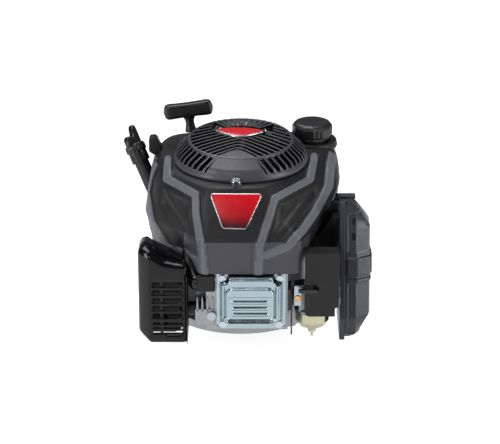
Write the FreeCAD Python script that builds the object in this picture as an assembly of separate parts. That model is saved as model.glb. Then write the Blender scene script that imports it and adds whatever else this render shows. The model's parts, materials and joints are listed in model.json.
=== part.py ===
import FreeCAD, Part
import math
import os

V = FreeCAD.Vector

# ---------------------------------------------------------------------------
# Small vertical-shaft gasoline engine.  All sizes in mm.
# Z = 0 is the mounting face, the crankshaft stands on the Z axis,
# the cylinder points towards -Y and the carburettor side is +X.
# ---------------------------------------------------------------------------

# Fits
running_gap = 0.05
loose_gap = 0.5
gasket_thickness = 0.8

# Mounting flange and sump
flange_radius = 115.0
flange_thickness = 12.0
mount_circle_radius = 101.6
mount_hole_radius = 4.75
mount_hole_angles = (60.0, 180.0, 300.0)
sump_floor = 8.0
sump_height = 36.0
case_wall = 6.0
crank_room_radius = 52.0
cam_room_radius = 45.0
crank_boss_radius = 24.0
cam_boss_radius = 12.0
seal_radius = 22.0
seal_height = 7.0
upper_seal_radius = 19.0

# Oil drain
drain_height = 22.5
drain_radius = 6.0
drain_face = 61.0
drain_head_length = 7.0
drain_angle = 127.5

# Crankcase casting
case_bottom = sump_height + gasket_thickness
case_top = 108.0
case_roof = 8.0
top_boss_top = 118.0
inner_boss_drop = 8.0
case_screw_radius = 4.0
case_screw_head_radius = 6.5
case_screw_head_height = 6.0
case_lug_radius = 9.0
case_lug_top = 46.0
case_screw_ring = crank_room_radius + case_wall + 7.0
case_screw_angles = (62.0, 105.0, 150.0, 210.0)
cam_screw_ring = cam_room_radius + case_wall + 7.0
cam_screw_angles = (50.0, -70.0)

# Timing gears
gear_module = 2.0
crank_teeth = 20
cam_teeth = 40
gear_addendum = 0.85
gear_dedendum = 1.25
tooth_half_pitch_width = 1.28
tooth_half_tip_width = 0.62
tooth_half_root_width = 1.75
gear_bottom = 28.0
gear_top = 35.5
sump_boss_top = 26.5
cam_distance = gear_module * (crank_teeth + cam_teeth) / 2.0
cam_direction = -28.0
cam_x = cam_distance * math.cos(math.radians(cam_direction))
cam_y = cam_distance * math.sin(math.radians(cam_direction))

# Crankshaft
shaft_radius = 11.1
shaft_bottom = -46.0
shaft_key_width = 4.76
shaft_key_depth = 2.6
shaft_key_length = 34.0
shaft_tap_radius = 4.2
shaft_tap_length = 25.0
main_radius = 14.0
upper_main_radius = 12.5
cylinder_z = 68.5
stroke = 49.0
crank_throw = stroke / 2.0
crankpin_radius = 13.0
crankpin_height = 18.0
web_thickness = 9.5
web_radius = 43.0
pin_cheek_radius = 17.0
snout_radius = 10.5
flywheel_seat_z = 120.0
snout_top = 150.0
thread_radius = 7.0
thread_top = 168.0

# Cylinder, piston and rod
bore_radius = 35.0
barrel_radius = 40.0
barrel_front_y = -122.0
fin_left = -64.0
fin_right = 67.0
fin_bottom = 20.0
fin_top = 102.5
fin_first_y = -66.0
fin_pitch = 7.4
fin_thickness = 2.4
fin_count = 8
piston_crown_y = -121.0
piston_height = 46.0
piston_wall = 3.5
piston_crown_thickness = 6.0
piston_pin_y = -96.0
piston_pin_radius = 8.0
piston_pin_half = 30.0
ring_height = 1.5
ring_depth = 1.6
ring_positions = (5.0, 9.5, 14.0)
rod_small_radius = 12.0
rod_big_radius = 19.5
rod_beam_half_width = 7.0
rod_beam_half_height = 5.0
rod_big_half_height = 8.5

# Cylinder head and valve train
head_gasket_thickness = 1.0
head_back_y = barrel_front_y - head_gasket_thickness
head_front_y = -146.0
head_left = -50.0
head_right = 68.0
head_bottom = 22.0
head_top = 115.0
chamber_radius = 33.0
chamber_depth = 4.0
head_screw_points = ((-42.5, 45.0), (38.0, 38.4), (-42.5, 103.0), (38.0, 100.0))
valve_x = 6.0
exhaust_z = 51.5
intake_z = 85.5
valve_stem_radius = 2.75
valve_head_radius = 13.0
valve_head_thickness = 2.0
valve_tip_y = -157.5
pocket_radius = 10.5
pocket_depth = 14.0
port_radius = 8.0
intake_port_z = cylinder_z
spring_outer_radius = 9.0
spring_wire_radius = 1.1
spring_turns = 4.0
spring_steps_per_turn = 20
spring_wire_sides = 10
retainer_radius = 8.5
cam_base_radius = 9.5
cam_nose_radius = 5.0
cam_lift = 4.2
cam_lobe_half = 5.0
cam_pin_radius = 8.0
tappet_face_y = cam_y - cam_base_radius - cam_lift - 0.6
tappet_foot_radius = 10.0
tappet_foot_thickness = 4.0
tappet_stem_radius = 6.0
tappet_stem_end_y = -72.0
pushrod_radius = 3.0
pushrod_tunnel_radius = 5.0
rocker_pivot_x = 31.0
rocker_pivot_y = -154.0
rocker_pivot_radius = 4.0
rocker_half_height = 5.0
pushrod_end_y = -151.0

# Valve cover
cover_left = -35.0
cover_right = 65.0
cover_bottom = 24.0
cover_top = 118.0
cover_flange_thickness = 2.0
cover_front_y = -168.0
cover_skin = 1.6
cover_screw_inset = 9.0
cover_recess_radius = 8.4
screw_radius = 3.0
screw_length = 9.0
screw_washer_radius = 6.5
screw_washer_height = 1.4
screw_hex_radius = 5.4
screw_head_height = 6.0

# Spark plug, boot and ignition
plug_tip = V(-24.0, -125.6, 78.0)
plug_outward = V(-46.0, -18.0, 19.0).normalize()
plug_thread_radius = 5.0
plug_hex_radius = 9.0
plug_ceramic_radius = 5.0
boot_radius = 11.5
lead_radius = 3.5
coil_gap = 0.6
coil_direction = 229.8
coil_foot_direction = coil_direction + 6.0
lead_entry_distance = 98.0
lead_entry_z = 128.0
spout_direction = V(-0.24, 0.97, 0.02).normalize()

# Flywheel and starter
flywheel_radius = 82.0
flywheel_rim_radius = 70.0
flywheel_top = 150.0
flywheel_disc_bottom = 128.0
flywheel_disc_top = 136.0
flywheel_hub_radius = 22.0
blade_count = 18
blade_inner_radius = 46.0
blade_outer_radius = 79.0
blade_thickness = 3.0
blade_top = 178.0
nut_across = 11.0
nut_height = 12.0
cup_radius = 30.0
cup_wall = 2.0
cup_top = 188.0
reel_bottom = 196.0
reel_top = 214.0
reel_radius = 60.0
reel_groove_radius = 49.7
reel_cheek = 2.5
reel_post_radius = 8.0
reel_boss_radius = 25.0
reel_boss_bottom = 189.0
rope_radius = 2.25
rope_line_radius = 52.0
rope_z = (reel_bottom + reel_top) / 2.0
pawl_pivot_x = 18.0
pawl_pin_radius = 2.5
pawl_bottom = 181.5
pawl_top = 187.5
spring_strip = 0.8
spring_bottom = 214.6
spring_top = 220.4
spring_inner_radius = 12.0
spring_spacing = 3.4
spring_coils = 8

# Rope exit and handle
guide_corner = V(-71.0, 80.0, rope_z)
handle_axis = V(-0.12, 0.10, 1.0).normalize()
handle_stem_foot = 41.0
handle_stem_radius = 9.0
handle_waist_radius = 6.2
handle_waist_height = 54.0
handle_bar_height = 74.5
handle_half_length = 38.0
handle_half_depth = 9.0
handle_half_height = 9.5
handle_rounding = 7.5
handle_turn = 5.0

# Blower housing
skin = 2.5
skirt_z = 100.0
crease_z = 162.0
shoulder_z = 219.0
deck_top = 231.0
deck_outline = (
    (-88.0, 130.0), (-118.0, 104.0), (-124.0, 30.0), (-110.0, -30.0), (-74.0, -78.0),
    (-48.0, -106.0), (-40.0, -110.0), (34.0, -110.0), (54.0, -94.0), (104.0, -28.0),
    (124.0, 30.0), (136.0, 100.0), (106.0, 132.0),
)
shoulder_outline = (
    (-92.0, 140.0), (-130.0, 108.0), (-134.0, 30.0), (-122.0, -34.0), (-82.0, -84.0),
    (-52.0, -112.0), (-42.0, -117.0), (42.0, -117.0), (62.0, -98.0), (116.0, -36.0),
    (142.0, 20.0), (148.0, 104.0), (112.0, 142.0),
)
crease_outline = (
    (-92.0, 144.0), (-136.0, 110.0), (-142.0, 30.0), (-141.0, -40.0), (-104.0, -88.0),
    (-63.0, -128.0), (-52.5, -152.0), (86.0, -152.0), (93.0, -122.0), (134.0, -62.0),
    (149.0, 0.0), (151.0, 104.0), (113.0, 146.0),
)
skirt_outline = (
    (-88.0, 140.0), (-130.0, 106.0), (-136.0, 30.0), (-130.0, -56.0), (-104.0, -90.0),
    (-67.0, -114.0), (-52.5, -153.0), (84.0, -153.0), (91.0, -116.0), (130.0, -62.0),
    (146.0, 0.0), (147.0, 104.0), (110.0, 142.0),
)
intake_hole_radius = 88.0
spider_hub_radius = 16.0
spider_arm_width = 14.0
spider_depth = 7.0
rope_guide_radius = 9.0
rope_guide_bore = 3.6
rope_guide_top = 241.0

# Grille
grille_radius = 98.0
grille_top_radius = 75.0
grille_base_height = 9.0
grille_shoulder_z = 252.0
grille_top_z = 264.0
grille_skin = 2.6
grille_slot_count = 52
grille_slot_width = 6.2
grille_panel_from = 236.0
grille_panel_to = 296.0
louvre_count = 8
louvre_pitch = 12.0
louvre_width = 5.0
styling_turn = -4.6
grille_screw_angles = (265.4, 25.0, 155.0)
grille_screw_ring = 97.0

# Fuel tank and cap
tank_bottom = 124.0
tank_top = 215.0
tank_wall = 3.0
tank_inner_arc = 95.0
tank_outline = (
    (-64.0, 134.0), (-100.0, 112.0), (-100.0, 84.0), (-64.0, 84.0), (-30.0, 94.0), (30.0, 94.0),
    (92.0, 34.0), (108.0, 30.0), (137.0, 30.0), (140.0, 98.0), (106.0, 134.0),
)
cap_x = 108.0
cap_y = 85.0
neck_radius = 22.0
neck_wall = 3.0
neck_top = 243.0
cap_radius = 30.5
cap_bottom = 239.0
cap_top = 261.0
cap_scallops = 12
cap_scallop_radius = 4.5

# Oil filler and dipstick
filler_top = V(-155.8, 55.5, 221.0)
filler_bend = V(-87.3, -1.0, 74.0)
filler_foot = V(-54.0, -1.0, 56.0)
filler_radius = 11.0
filler_bore = 8.5
filler_collar_radius = 14.0
filler_clip_left = -138.0
filler_clip_right = -124.0
filler_clip_half_depth = 9.0
filler_clip_bottom = 221.0
filler_clip_top = 247.0
dipstick_blade_radius = 2.0
wing_turn = 68.0

# Carburettor
throat_y = -128.0
throat_z = 68.0
throat_radius = 9.0
carb_left = 84.0
carb_right = 122.0
carb_half_width = 18.0
carb_bottom = 50.0
carb_top = 86.0
bowl_x = 104.0
bowl_radius = 24.5
bowl_bottom = 20.0
bowl_skin = 1.5
carb_port_start = 68.0
throttle_x = 93.0
choke_x = 111.0
throttle_shaft_radius = 2.5
throttle_arm_length = 10.0
choke_arm_length = 34.0
filter_face_x = 144.0

# Air filter
filter_plate_thickness = 6.0
filter_outer_x = 188.0
filter_front_y = -140.0
filter_top_front_y = -92.0
filter_top_z = 196.0
filter_bottom_z = 6.0
filter_rear_y = -46.0
filter_skin = 2.2
filter_low_bevel = 17.0
filter_high_bevel = 18.0
duct_left = 108.0
duct_bottom = 105.0
duct_top = 168.0
duct_front_y = -76.0
duct_rear_y = -50.0

# Muffler and guard
muffler_left = -140.0
muffler_right = -84.0
muffler_front_y = -142.0
muffler_rear_y = -52.0
muffler_bottom = 16.0
muffler_top = 98.0
muffler_skin = 1.5
exhaust_pipe_radius = 10.0
guard_left = -148.0
guard_fold = -131.0
guard_right = -77.0
guard_front_y = -152.0
guard_fold_y = -138.0
guard_rear_y = -64.0
guard_bottom = 3.0
guard_front_top = 148.0
guard_top_rear_y = -97.0
guard_gap = 2.0
guard_skin = 1.5
guard_slot_rows = 8
guard_slot_pitch = 12.6
guard_slot_height = 6.5

# Shield, bracket and rod
shield_left = 92.0
shield_right = 143.0
shield_front_y = -156.0
shield_bottom = 47.0
shield_top = 147.0
shield_skin = 1.2
bracket_left = 138.0
bracket_right = 171.0
bracket_y = 12.0
bracket_bottom = 112.5
bracket_top = 172.0
bracket_skin = 2.5


# ---------------------------------------------------------------------------
# Shape helpers
# ---------------------------------------------------------------------------
def rod_z(radius, low, high, x=0.0, y=0.0):
    return Part.makeCylinder(radius, high - low, V(x, y, low))


def rod_y_dir(radius, low, high, x, z):
    return Part.makeCylinder(radius, high - low, V(x, low, z), V(0, 1, 0))


def rod_x_dir(radius, low, high, y, z):
    return Part.makeCylinder(radius, high - low, V(low, y, z), V(1, 0, 0))


def rod_between(radius, start, end):
    along = end.sub(start)
    return Part.makeCylinder(radius, along.Length, start, along)


def box(x0, x1, y0, y1, z0, z1):
    return Part.makeBox(x1 - x0, y1 - y0, z1 - z0, V(x0, y0, z0))


def prism(points, low, high):
    corners = [V(x, y, low) for x, y in points]
    face = Part.Face(Part.makePolygon(corners + [corners[0]]))
    return face.extrude(V(0, 0, high - low))


def prism_y(points, low, high):
    corners = [V(x, low, z) for x, z in points]
    face = Part.Face(Part.makePolygon(corners + [corners[0]]))
    return face.extrude(V(0, high - low, 0))


def prism_x(points, low, high):
    corners = [V(low, y, z) for y, z in points]
    face = Part.Face(Part.makePolygon(corners + [corners[0]]))
    return face.extrude(V(high - low, 0, 0))


def join(shapes):
    return shapes[0].multiFuse(shapes[1:]).removeSplitter()


def take(shape, tools):
    return shape.cut(tools)


def hexagon(radius, low, high, x=0.0, y=0.0):
    points = []
    for step in range(6):
        angle = math.radians(60.0 * step)
        points.append((x + radius * math.cos(angle), y + radius * math.sin(angle)))
    return prism(points, low, high)


def turned(shape, degrees, centre=V(0, 0, 0), axis=V(0, 0, 1)):
    copy = shape.copy()
    copy.rotate(centre, axis, degrees)
    return copy


def on_circle(radius, degrees, x=0.0, y=0.0):
    angle = math.radians(degrees)
    return (x + radius * math.cos(angle), y + radius * math.sin(angle))


def inset(points, distance):
    count = len(points)
    area = 0.0
    for index in range(count):
        ax, ay = points[index]
        bx, by = points[(index + 1) % count]
        area += ax * by - bx * ay
    side = 1.0 if area > 0 else -1.0
    moved = []
    for index in range(count):
        px, py = points[index - 1]
        cx, cy = points[index]
        nx, ny = points[(index + 1) % count]
        first = V(cx - px, cy - py, 0).normalize()
        second = V(nx - cx, ny - cy, 0).normalize()
        first_normal = V(-first.y * side, first.x * side, 0)
        second_normal = V(-second.y * side, second.x * side, 0)
        middle = first_normal.add(second_normal).normalize()
        reach = distance / max(0.35, middle.dot(first_normal))
        moved.append((cx + middle.x * reach, cy + middle.y * reach))
    return moved


def lofted(sections):
    wires = []
    for height, points in sections:
        corners = [V(x, y, height) for x, y in points]
        wires.append(Part.makePolygon(corners + [corners[0]]))
    return Part.makeLoft(wires, True, True)


def bend_radius(before, corner, after):
    first = corner.sub(before)
    second = after.sub(corner)
    turn = first.getAngle(second)
    shorter = min(first.Length, second.Length)
    return 0.45 * shorter / math.tan(turn / 2.0), turn


def route(points):
    edges = []
    start = points[0]
    length = 0.0
    for index in range(1, len(points) - 1):
        corner = points[index]
        radius, turn = bend_radius(points[index - 1], corner, points[index + 1])
        back = corner.sub(points[index - 1]).normalize()
        ahead = points[index + 1].sub(corner).normalize()
        reach = radius * math.tan(turn / 2.0)
        arc_start = corner.sub(back * reach)
        arc_end = corner.add(ahead * reach)
        inward = ahead.sub(back).normalize()
        middle = corner.add(inward * (radius / math.cos(turn / 2.0) - radius))
        edges.append(Part.LineSegment(start, arc_start).toShape())
        edges.append(Part.Arc(arc_start, middle, arc_end).toShape())
        length += arc_start.sub(start).Length + radius * turn
        start = arc_end
        print("bend radius %.1f" % radius)
    edges.append(Part.LineSegment(start, points[-1]).toShape())
    length += points[-1].sub(start).Length
    return Part.Wire(edges), length


def cord(wire, radius):
    edge = wire.OrderedEdges[0]
    start = edge.valueAt(edge.FirstParameter)
    along = edge.tangentAt(edge.FirstParameter)
    circle = Part.Wire(Part.makeCircle(radius, start, along))
    return wire.makePipeShell([circle], True, False)


def gear(teeth, low, high, x, y, first_angle):
    pitch_radius = gear_module * teeth / 2.0
    tip = pitch_radius + gear_addendum * gear_module
    root = pitch_radius - gear_dedendum * gear_module
    points = []
    for index in range(teeth):
        centre = math.radians(first_angle + 360.0 * index / teeth)
        for radius, half in (
            (root, -tooth_half_root_width),
            (pitch_radius, -tooth_half_pitch_width),
            (tip, -tooth_half_tip_width),
            (tip, tooth_half_tip_width),
            (pitch_radius, tooth_half_pitch_width),
            (root, tooth_half_root_width),
        ):
            angle = centre + half / radius
            points.append((x + radius * math.cos(angle), y + radius * math.sin(angle)))
    return prism(points, low, high)


def coil_spring(wire_radius, mean_radius, start, end, turns):
    along = end.sub(start)
    facing = FreeCAD.Rotation(V(0, 0, 1), along)
    sections = []
    steps = int(turns * spring_steps_per_turn)
    for step in range(steps + 1):
        angle = 2.0 * math.pi * step / spring_steps_per_turn
        height = along.Length * step / steps
        corners = []
        for side in range(spring_wire_sides):
            around = 2.0 * math.pi * side / spring_wire_sides
            reach = mean_radius + wire_radius * math.cos(around)
            corner = V(reach * math.cos(angle), reach * math.sin(angle), height + wire_radius * math.sin(around))
            corners.append(start.add(facing.multVec(corner)))
        sections.append(Part.makePolygon(corners + [corners[0]]))
    return Part.makeLoft(sections, True, True)


# ---------------------------------------------------------------------------
# Crankcase group
# ---------------------------------------------------------------------------
def case_screw_points():
    points = [on_circle(case_screw_ring, angle) for angle in case_screw_angles]
    points += [on_circle(cam_screw_ring, angle, cam_x, cam_y) for angle in cam_screw_angles]
    return points


def case_rooms(low, high, grow=0.0):
    crank_room = rod_z(crank_room_radius + grow, low, high)
    cam_room = rod_z(cam_room_radius + grow, low, high, cam_x, cam_y)
    return crank_room.fuse(cam_room)


def mounting_flange():
    disc = rod_z(flange_radius, 0.0, flange_thickness)
    walls = case_rooms(flange_thickness / 2.0, sump_height, case_wall)
    lugs = [rod_z(case_lug_radius, 1.0, sump_height, x, y) for x, y in case_screw_points()]
    pad = rod_between(drain_radius * 1.8, drain_point(48.0), drain_point(drain_face))
    body = join([disc, walls, pad] + lugs)
    body = take(body, [case_rooms(sump_floor, sump_height + 1.0)])
    body = body.cut(rod_between(drain_radius, drain_point(46.0), drain_point(drain_face + 4.0)))
    crank_boss = rod_z(crank_boss_radius, sump_floor - 1.0, sump_boss_top)
    cam_boss = rod_z(cam_boss_radius, sump_floor - 1.0, sump_boss_top, cam_x, cam_y)
    body = join([body, crank_boss, cam_boss])
    tools = [rod_z(main_radius + running_gap, -1.0, sump_height)]
    tools.append(rod_z(seal_radius, -1.0, seal_height))
    tools.append(rod_z(cam_pin_radius + running_gap, 11.0, sump_height, cam_x, cam_y))
    for x, y in case_screw_points():
        tools.append(rod_z(case_screw_radius, 14.0, sump_height + 1.0, x, y))
    for angle in mount_hole_angles:
        x, y = on_circle(mount_circle_radius, angle)
        tools.append(rod_z(mount_hole_radius, -1.0, flange_thickness + 1.0, x, y))
    return take(body, tools)


def drain_point(distance):
    x, y = on_circle(distance, drain_angle)
    return V(x, y, drain_height)


def drain_plug():
    stem = rod_between(drain_radius - running_gap, drain_point(50.0), drain_point(drain_face))
    head = rod_between(drain_radius * 1.6, drain_point(drain_face), drain_point(drain_face + drain_head_length))
    return stem.fuse(head)


def sump_gasket():
    ring = case_rooms(sump_height, case_bottom, case_wall)
    lugs = [rod_z(case_lug_radius, sump_height, case_bottom, x, y) for x, y in case_screw_points()]
    ring = join([ring] + lugs)
    tools = [case_rooms(sump_height - 1.0, case_bottom + 1.0)]
    for x, y in case_screw_points():
        tools.append(rod_z(case_screw_radius, sump_height - 1.0, case_bottom + 1.0, x, y))
    return take(ring, tools)


def cylinder_fins():
    fins = []
    for index in range(fin_count):
        front = fin_first_y - index * fin_pitch
        fins.append(box(fin_left, fin_right, front - fin_thickness, front, fin_bottom, fin_top))
    return fins


def pushrod_bosses(back, front):
    return box(cam_x - 9.5, cam_x + 9.5, front, back, exhaust_z - 9.0, intake_z + 9.0)


def crankcase():
    walls = case_rooms(case_bottom, case_top, case_wall)
    lugs = [rod_z(case_lug_radius, case_bottom, case_lug_top, x, y) for x, y in case_screw_points()]
    barrel = rod_y_dir(barrel_radius, barrel_front_y, -40.0, 0.0, cylinder_z)
    boss = rod_z(crank_boss_radius, case_top - 1.0, top_boss_top)
    collar = rod_between(filler_collar_radius, filler_foot, filler_entry(12.0))
    solids = [walls, barrel, boss, collar, pushrod_bosses(-66.0, barrel_front_y)] + lugs
    for x, z in head_screw_points:
        solids.append(rod_y_dir(7.0, barrel_front_y, -84.0, x, z))
    solids += cylinder_fins()
    solids.append(governor_post())
    solids.append(turned(box(48.0, 96.0, -6.0, 6.0, case_top - 5.0, case_top), coil_foot_direction))
    foot_x, foot_y = on_circle(92.0, coil_foot_direction)
    solids.append(rod_z(4.0, case_top - 1.0, 124.0, foot_x, foot_y))
    body = join(solids)
    body = take(body, [case_rooms(case_bottom - 1.0, case_top - case_roof)])
    inner_low = case_top - case_roof - inner_boss_drop
    upper_boss = rod_z(crank_boss_radius - 2.0, inner_low, case_top - case_roof + 1.0)
    cam_boss = rod_z(cam_boss_radius, inner_low, case_top - case_roof + 1.0, cam_x, cam_y)
    guides = []
    for z in (exhaust_z, intake_z):
        guides.append(rod_y_dir(10.0, -78.0, -53.0, cam_x, z))
    body = join([body, upper_boss, cam_boss] + guides)
    tools = [rod_y_dir(bore_radius + running_gap, barrel_front_y - 1.0, -30.0, 0.0, cylinder_z)]
    tools.append(rod_z(upper_main_radius + running_gap, inner_low - 1.0, top_boss_top + 1.0))
    tools.append(rod_z(upper_seal_radius, top_boss_top - seal_height, top_boss_top + 1.0))
    tools.append(rod_z(cam_pin_radius + running_gap, inner_low - 1.0, case_top - 3.0, cam_x, cam_y))
    for x, y in case_screw_points():
        tools.append(rod_z(case_screw_radius, case_bottom - 1.0, case_lug_top + 1.0, x, y))
        tools.append(rod_z(case_screw_head_radius + 1.0, case_lug_top, case_top + 9.0, x, y))
    for x, z in head_screw_points:
        tools.append(rod_y_dir(case_screw_radius, barrel_front_y - 1.0, -92.0, x, z))
    for z in (exhaust_z, intake_z):
        tools.append(rod_y_dir(tappet_stem_radius + running_gap, -78.0, -40.0, cam_x, z))
        tools.append(rod_y_dir(pushrod_tunnel_radius, barrel_front_y - 1.0, -76.0, cam_x, z))
    tools.append(case_rooms(0.0, case_bottom, case_wall + 0.6))
    for x, y in case_screw_points():
        tools.append(rod_z(case_lug_radius + 0.6, 0.0, case_bottom, x, y))
    tools.append(rod_between(filler_bore, filler_entry(-6.0), filler_foot))
    tools.append(rod_between(filler_radius, filler_foot, filler_entry(13.0)))
    return take(body, tools)


def filler_entry(distance):
    away = filler_bend.sub(filler_foot).normalize()
    return filler_foot.add(away * distance)


def case_bolts():
    parts = []
    for x, y in case_screw_points():
        shank = rod_z(case_screw_radius, 15.0, case_lug_top, x, y)
        head = hexagon(case_screw_head_radius, case_lug_top, case_lug_top + case_screw_head_height, x, y)
        parts.append(shank.fuse(head))
    for x, z in head_screw_points:
        shank = rod_y_dir(case_screw_radius, head_front_y, -94.0, x, z)
        head = rod_y_dir(case_screw_head_radius, head_front_y - case_screw_head_height, head_front_y, x, z)
        parts.append(shank.fuse(head))
    return Part.makeCompound(parts)


def oil_seals():
    lower = rod_z(seal_radius, 0.5, seal_height).cut(rod_z(main_radius + running_gap, 0.0, 20.0))
    low = top_boss_top - seal_height
    upper = rod_z(upper_seal_radius, low, top_boss_top - 0.5)
    upper = upper.cut(rod_z(upper_main_radius + running_gap, low - 1.0, top_boss_top))
    return Part.makeCompound([lower, upper])


# ---------------------------------------------------------------------------
# Crankshaft, rod, piston and camshaft
# ---------------------------------------------------------------------------
def crank_web(low):
    high = low + web_thickness
    disc = rod_z(web_radius, low, high)
    weight = disc.common(box(-web_radius, web_radius, 2.0, web_radius, low, high))
    cheek = box(-pin_cheek_radius, pin_cheek_radius, -crank_throw, 3.0, low, high)
    end = rod_z(pin_cheek_radius, low, high, 0.0, -crank_throw)
    centre = rod_z(pin_cheek_radius + 4.0, low, high)
    return join([weight, cheek, end, centre])


def crankshaft():
    pin_low = cylinder_z - crankpin_height / 2.0
    pin_high = cylinder_z + crankpin_height / 2.0
    solids = [
        rod_z(shaft_radius, shaft_bottom, 3.0),
        rod_z(main_radius, 1.0, pin_low - 2.0),
        gear(crank_teeth, gear_bottom, gear_top, 0.0, 0.0, cam_direction),
        crank_web(pin_low - web_thickness),
        rod_z(crankpin_radius, pin_low - 1.0, pin_high + 1.0, 0.0, -crank_throw),
        crank_web(pin_high),
        rod_z(upper_main_radius, pin_high + web_thickness - 1.0, flywheel_seat_z),
        rod_z(snout_radius, flywheel_seat_z - 1.0, snout_top),
        rod_z(thread_radius, snout_top - 1.0, thread_top),
    ]
    body = join(solids)
    key = box(-shaft_key_width / 2.0, shaft_key_width / 2.0, shaft_radius - shaft_key_depth,
              shaft_radius + 2.0, shaft_bottom - 1.0, shaft_bottom + shaft_key_length)
    tap = rod_z(shaft_tap_radius, shaft_bottom - 1.0, shaft_bottom + shaft_tap_length)
    return take(body, [key, tap])


def connecting_rod():
    low = cylinder_z - rod_big_half_height
    high = cylinder_z + rod_big_half_height
    big = rod_z(rod_big_radius, low, high, 0.0, -crank_throw)
    beam = box(-rod_beam_half_width, rod_beam_half_width, piston_pin_y, -crank_throw,
               cylinder_z - rod_beam_half_height, cylinder_z + rod_beam_half_height)
    small = rod_z(rod_small_radius, low, high, 0.0, piston_pin_y)
    lug = box(-rod_big_radius - 5.0, rod_big_radius + 5.0, -crank_throw - 9.0, -crank_throw,
              cylinder_z - 6.0, cylinder_z + 6.0)
    body = join([big, beam, small, lug])
    half = box(-40.0, 40.0, -crank_throw, 60.0, low - 1.0, high + 1.0)
    tools = [half, rod_z(crankpin_radius + running_gap, low - 1.0, high + 1.0, 0.0, -crank_throw)]
    tools.append(rod_z(piston_pin_radius + running_gap, low - 1.0, high + 1.0, 0.0, piston_pin_y))
    tools += rod_screw_holes()
    return take(body, tools)


def rod_screw_x():
    return rod_big_radius + 0.8


def rod_screw_holes():
    holes = []
    for side in (-1.0, 1.0):
        holes.append(rod_y_dir(2.5, -crank_throw - 9.0, 8.0 - crank_throw, side * rod_screw_x(), cylinder_z))
    return holes


def rod_cap():
    low = cylinder_z - rod_big_half_height
    high = cylinder_z + rod_big_half_height
    big = rod_z(rod_big_radius, low, high, 0.0, -crank_throw)
    lug = box(-rod_big_radius - 5.0, rod_big_radius + 5.0, -crank_throw, 7.0 - crank_throw,
              cylinder_z - 6.0, cylinder_z + 6.0)
    body = big.fuse(lug)
    half = box(-40.0, 40.0, -90.0, -crank_throw, low - 1.0, high + 1.0)
    tools = [half, rod_z(crankpin_radius + running_gap, low - 1.0, high + 1.0, 0.0, -crank_throw)]
    tools += rod_screw_holes()
    parts = [take(body, tools)]
    for side in (-1.0, 1.0):
        x = side * rod_screw_x()
        shank = rod_y_dir(2.5, -crank_throw - 8.0, 7.0 - crank_throw, x, cylinder_z)
        head = rod_y_dir(4.2, 7.0 - crank_throw, 10.5 - crank_throw, x, cylinder_z)
        parts.append(shank.fuse(head))
    return Part.makeCompound(parts)


def piston():
    rear = piston_crown_y + piston_height
    body = rod_y_dir(bore_radius, piston_crown_y, rear, 0.0, cylinder_z)
    hollow = rod_y_dir(bore_radius - piston_wall, piston_crown_y + piston_crown_thickness,
                       rear + 1.0, 0.0, cylinder_z)
    body = body.cut(hollow)
    for side in (-1.0, 1.0):
        inner = cylinder_z + side * (rod_big_half_height + 2.0)
        outer = cylinder_z + side * (bore_radius - 2.0)
        body = body.fuse(rod_z(piston_pin_radius + 4.5, min(inner, outer), max(inner, outer),
                               0.0, piston_pin_y))
    body = body.common(rod_y_dir(bore_radius, piston_crown_y, rear, 0.0, cylinder_z))
    tools = [rod_z(piston_pin_radius + running_gap, cylinder_z - 50.0, cylinder_z + 50.0,
                   0.0, piston_pin_y)]
    for position in ring_positions:
        front = piston_crown_y + position
        ring_space = rod_y_dir(bore_radius + 1.0, front, front + ring_height, 0.0, cylinder_z)
        core = rod_y_dir(bore_radius - ring_depth, front, front + ring_height, 0.0, cylinder_z)
        tools.append(ring_space.cut(core))
    return take(body, tools)


def piston_rings():
    rings = []
    for position in ring_positions:
        front = piston_crown_y + position
        ring = rod_y_dir(bore_radius + running_gap, front, front + ring_height, 0.0, cylinder_z)
        core = rod_y_dir(bore_radius - ring_depth, front - 1.0, front + ring_height + 1.0,
                         0.0, cylinder_z)
        gap = box(-0.25, 0.25, front - 1.0, front + ring_height + 1.0, cylinder_z + 20.0, cylinder_z + 60.0)
        rings.append(take(ring, [core, gap]))
    return Part.makeCompound(rings)


def piston_pin():
    outer = rod_z(piston_pin_radius, cylinder_z - piston_pin_half, cylinder_z + piston_pin_half,
                  0.0, piston_pin_y)
    inner = rod_z(piston_pin_radius - 3.0, cylinder_z - piston_pin_half - 1.0,
                  cylinder_z + piston_pin_half + 1.0, 0.0, piston_pin_y)
    return outer.cut(inner)


def cam_lobe(z, direction):
    low = z - cam_lobe_half
    high = z + cam_lobe_half
    base = rod_z(cam_base_radius, low, high, cam_x, cam_y)
    reach = cam_base_radius + cam_lift - cam_nose_radius
    nose_x, nose_y = on_circle(reach, direction, cam_x, cam_y)
    nose = rod_z(cam_nose_radius, low, high, nose_x, nose_y)
    spread = math.radians(direction + 90.0)
    across = (math.cos(spread), math.sin(spread))
    flank = prism([
        (cam_x + across[0] * cam_base_radius, cam_y + across[1] * cam_base_radius),
        (cam_x - across[0] * cam_base_radius, cam_y - across[1] * cam_base_radius),
        (nose_x - across[0] * cam_nose_radius, nose_y - across[1] * cam_nose_radius),
        (nose_x + across[0] * cam_nose_radius, nose_y + across[1] * cam_nose_radius),
    ], low, high)
    return join([base, nose, flank])


def camshaft():
    first_tooth = 180.0 + cam_direction + 180.0 / cam_teeth
    top = case_top - 5.0
    solids = [
        rod_z(cam_pin_radius, 13.0, sump_height, cam_x, cam_y),
        rod_z(cam_pin_radius, sump_height - 1.0, top, cam_x, cam_y),
        gear(cam_teeth, gear_bottom, gear_top, cam_x, cam_y, first_tooth),
        cam_lobe(exhaust_z, 70.0),
        cam_lobe(intake_z, 175.0),
    ]
    return join(solids)


# ---------------------------------------------------------------------------
# Cylinder head and valve train
# ---------------------------------------------------------------------------
def head_outline_box(back, front):
    return box(head_left, head_right, front, back, head_bottom, head_top)


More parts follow.
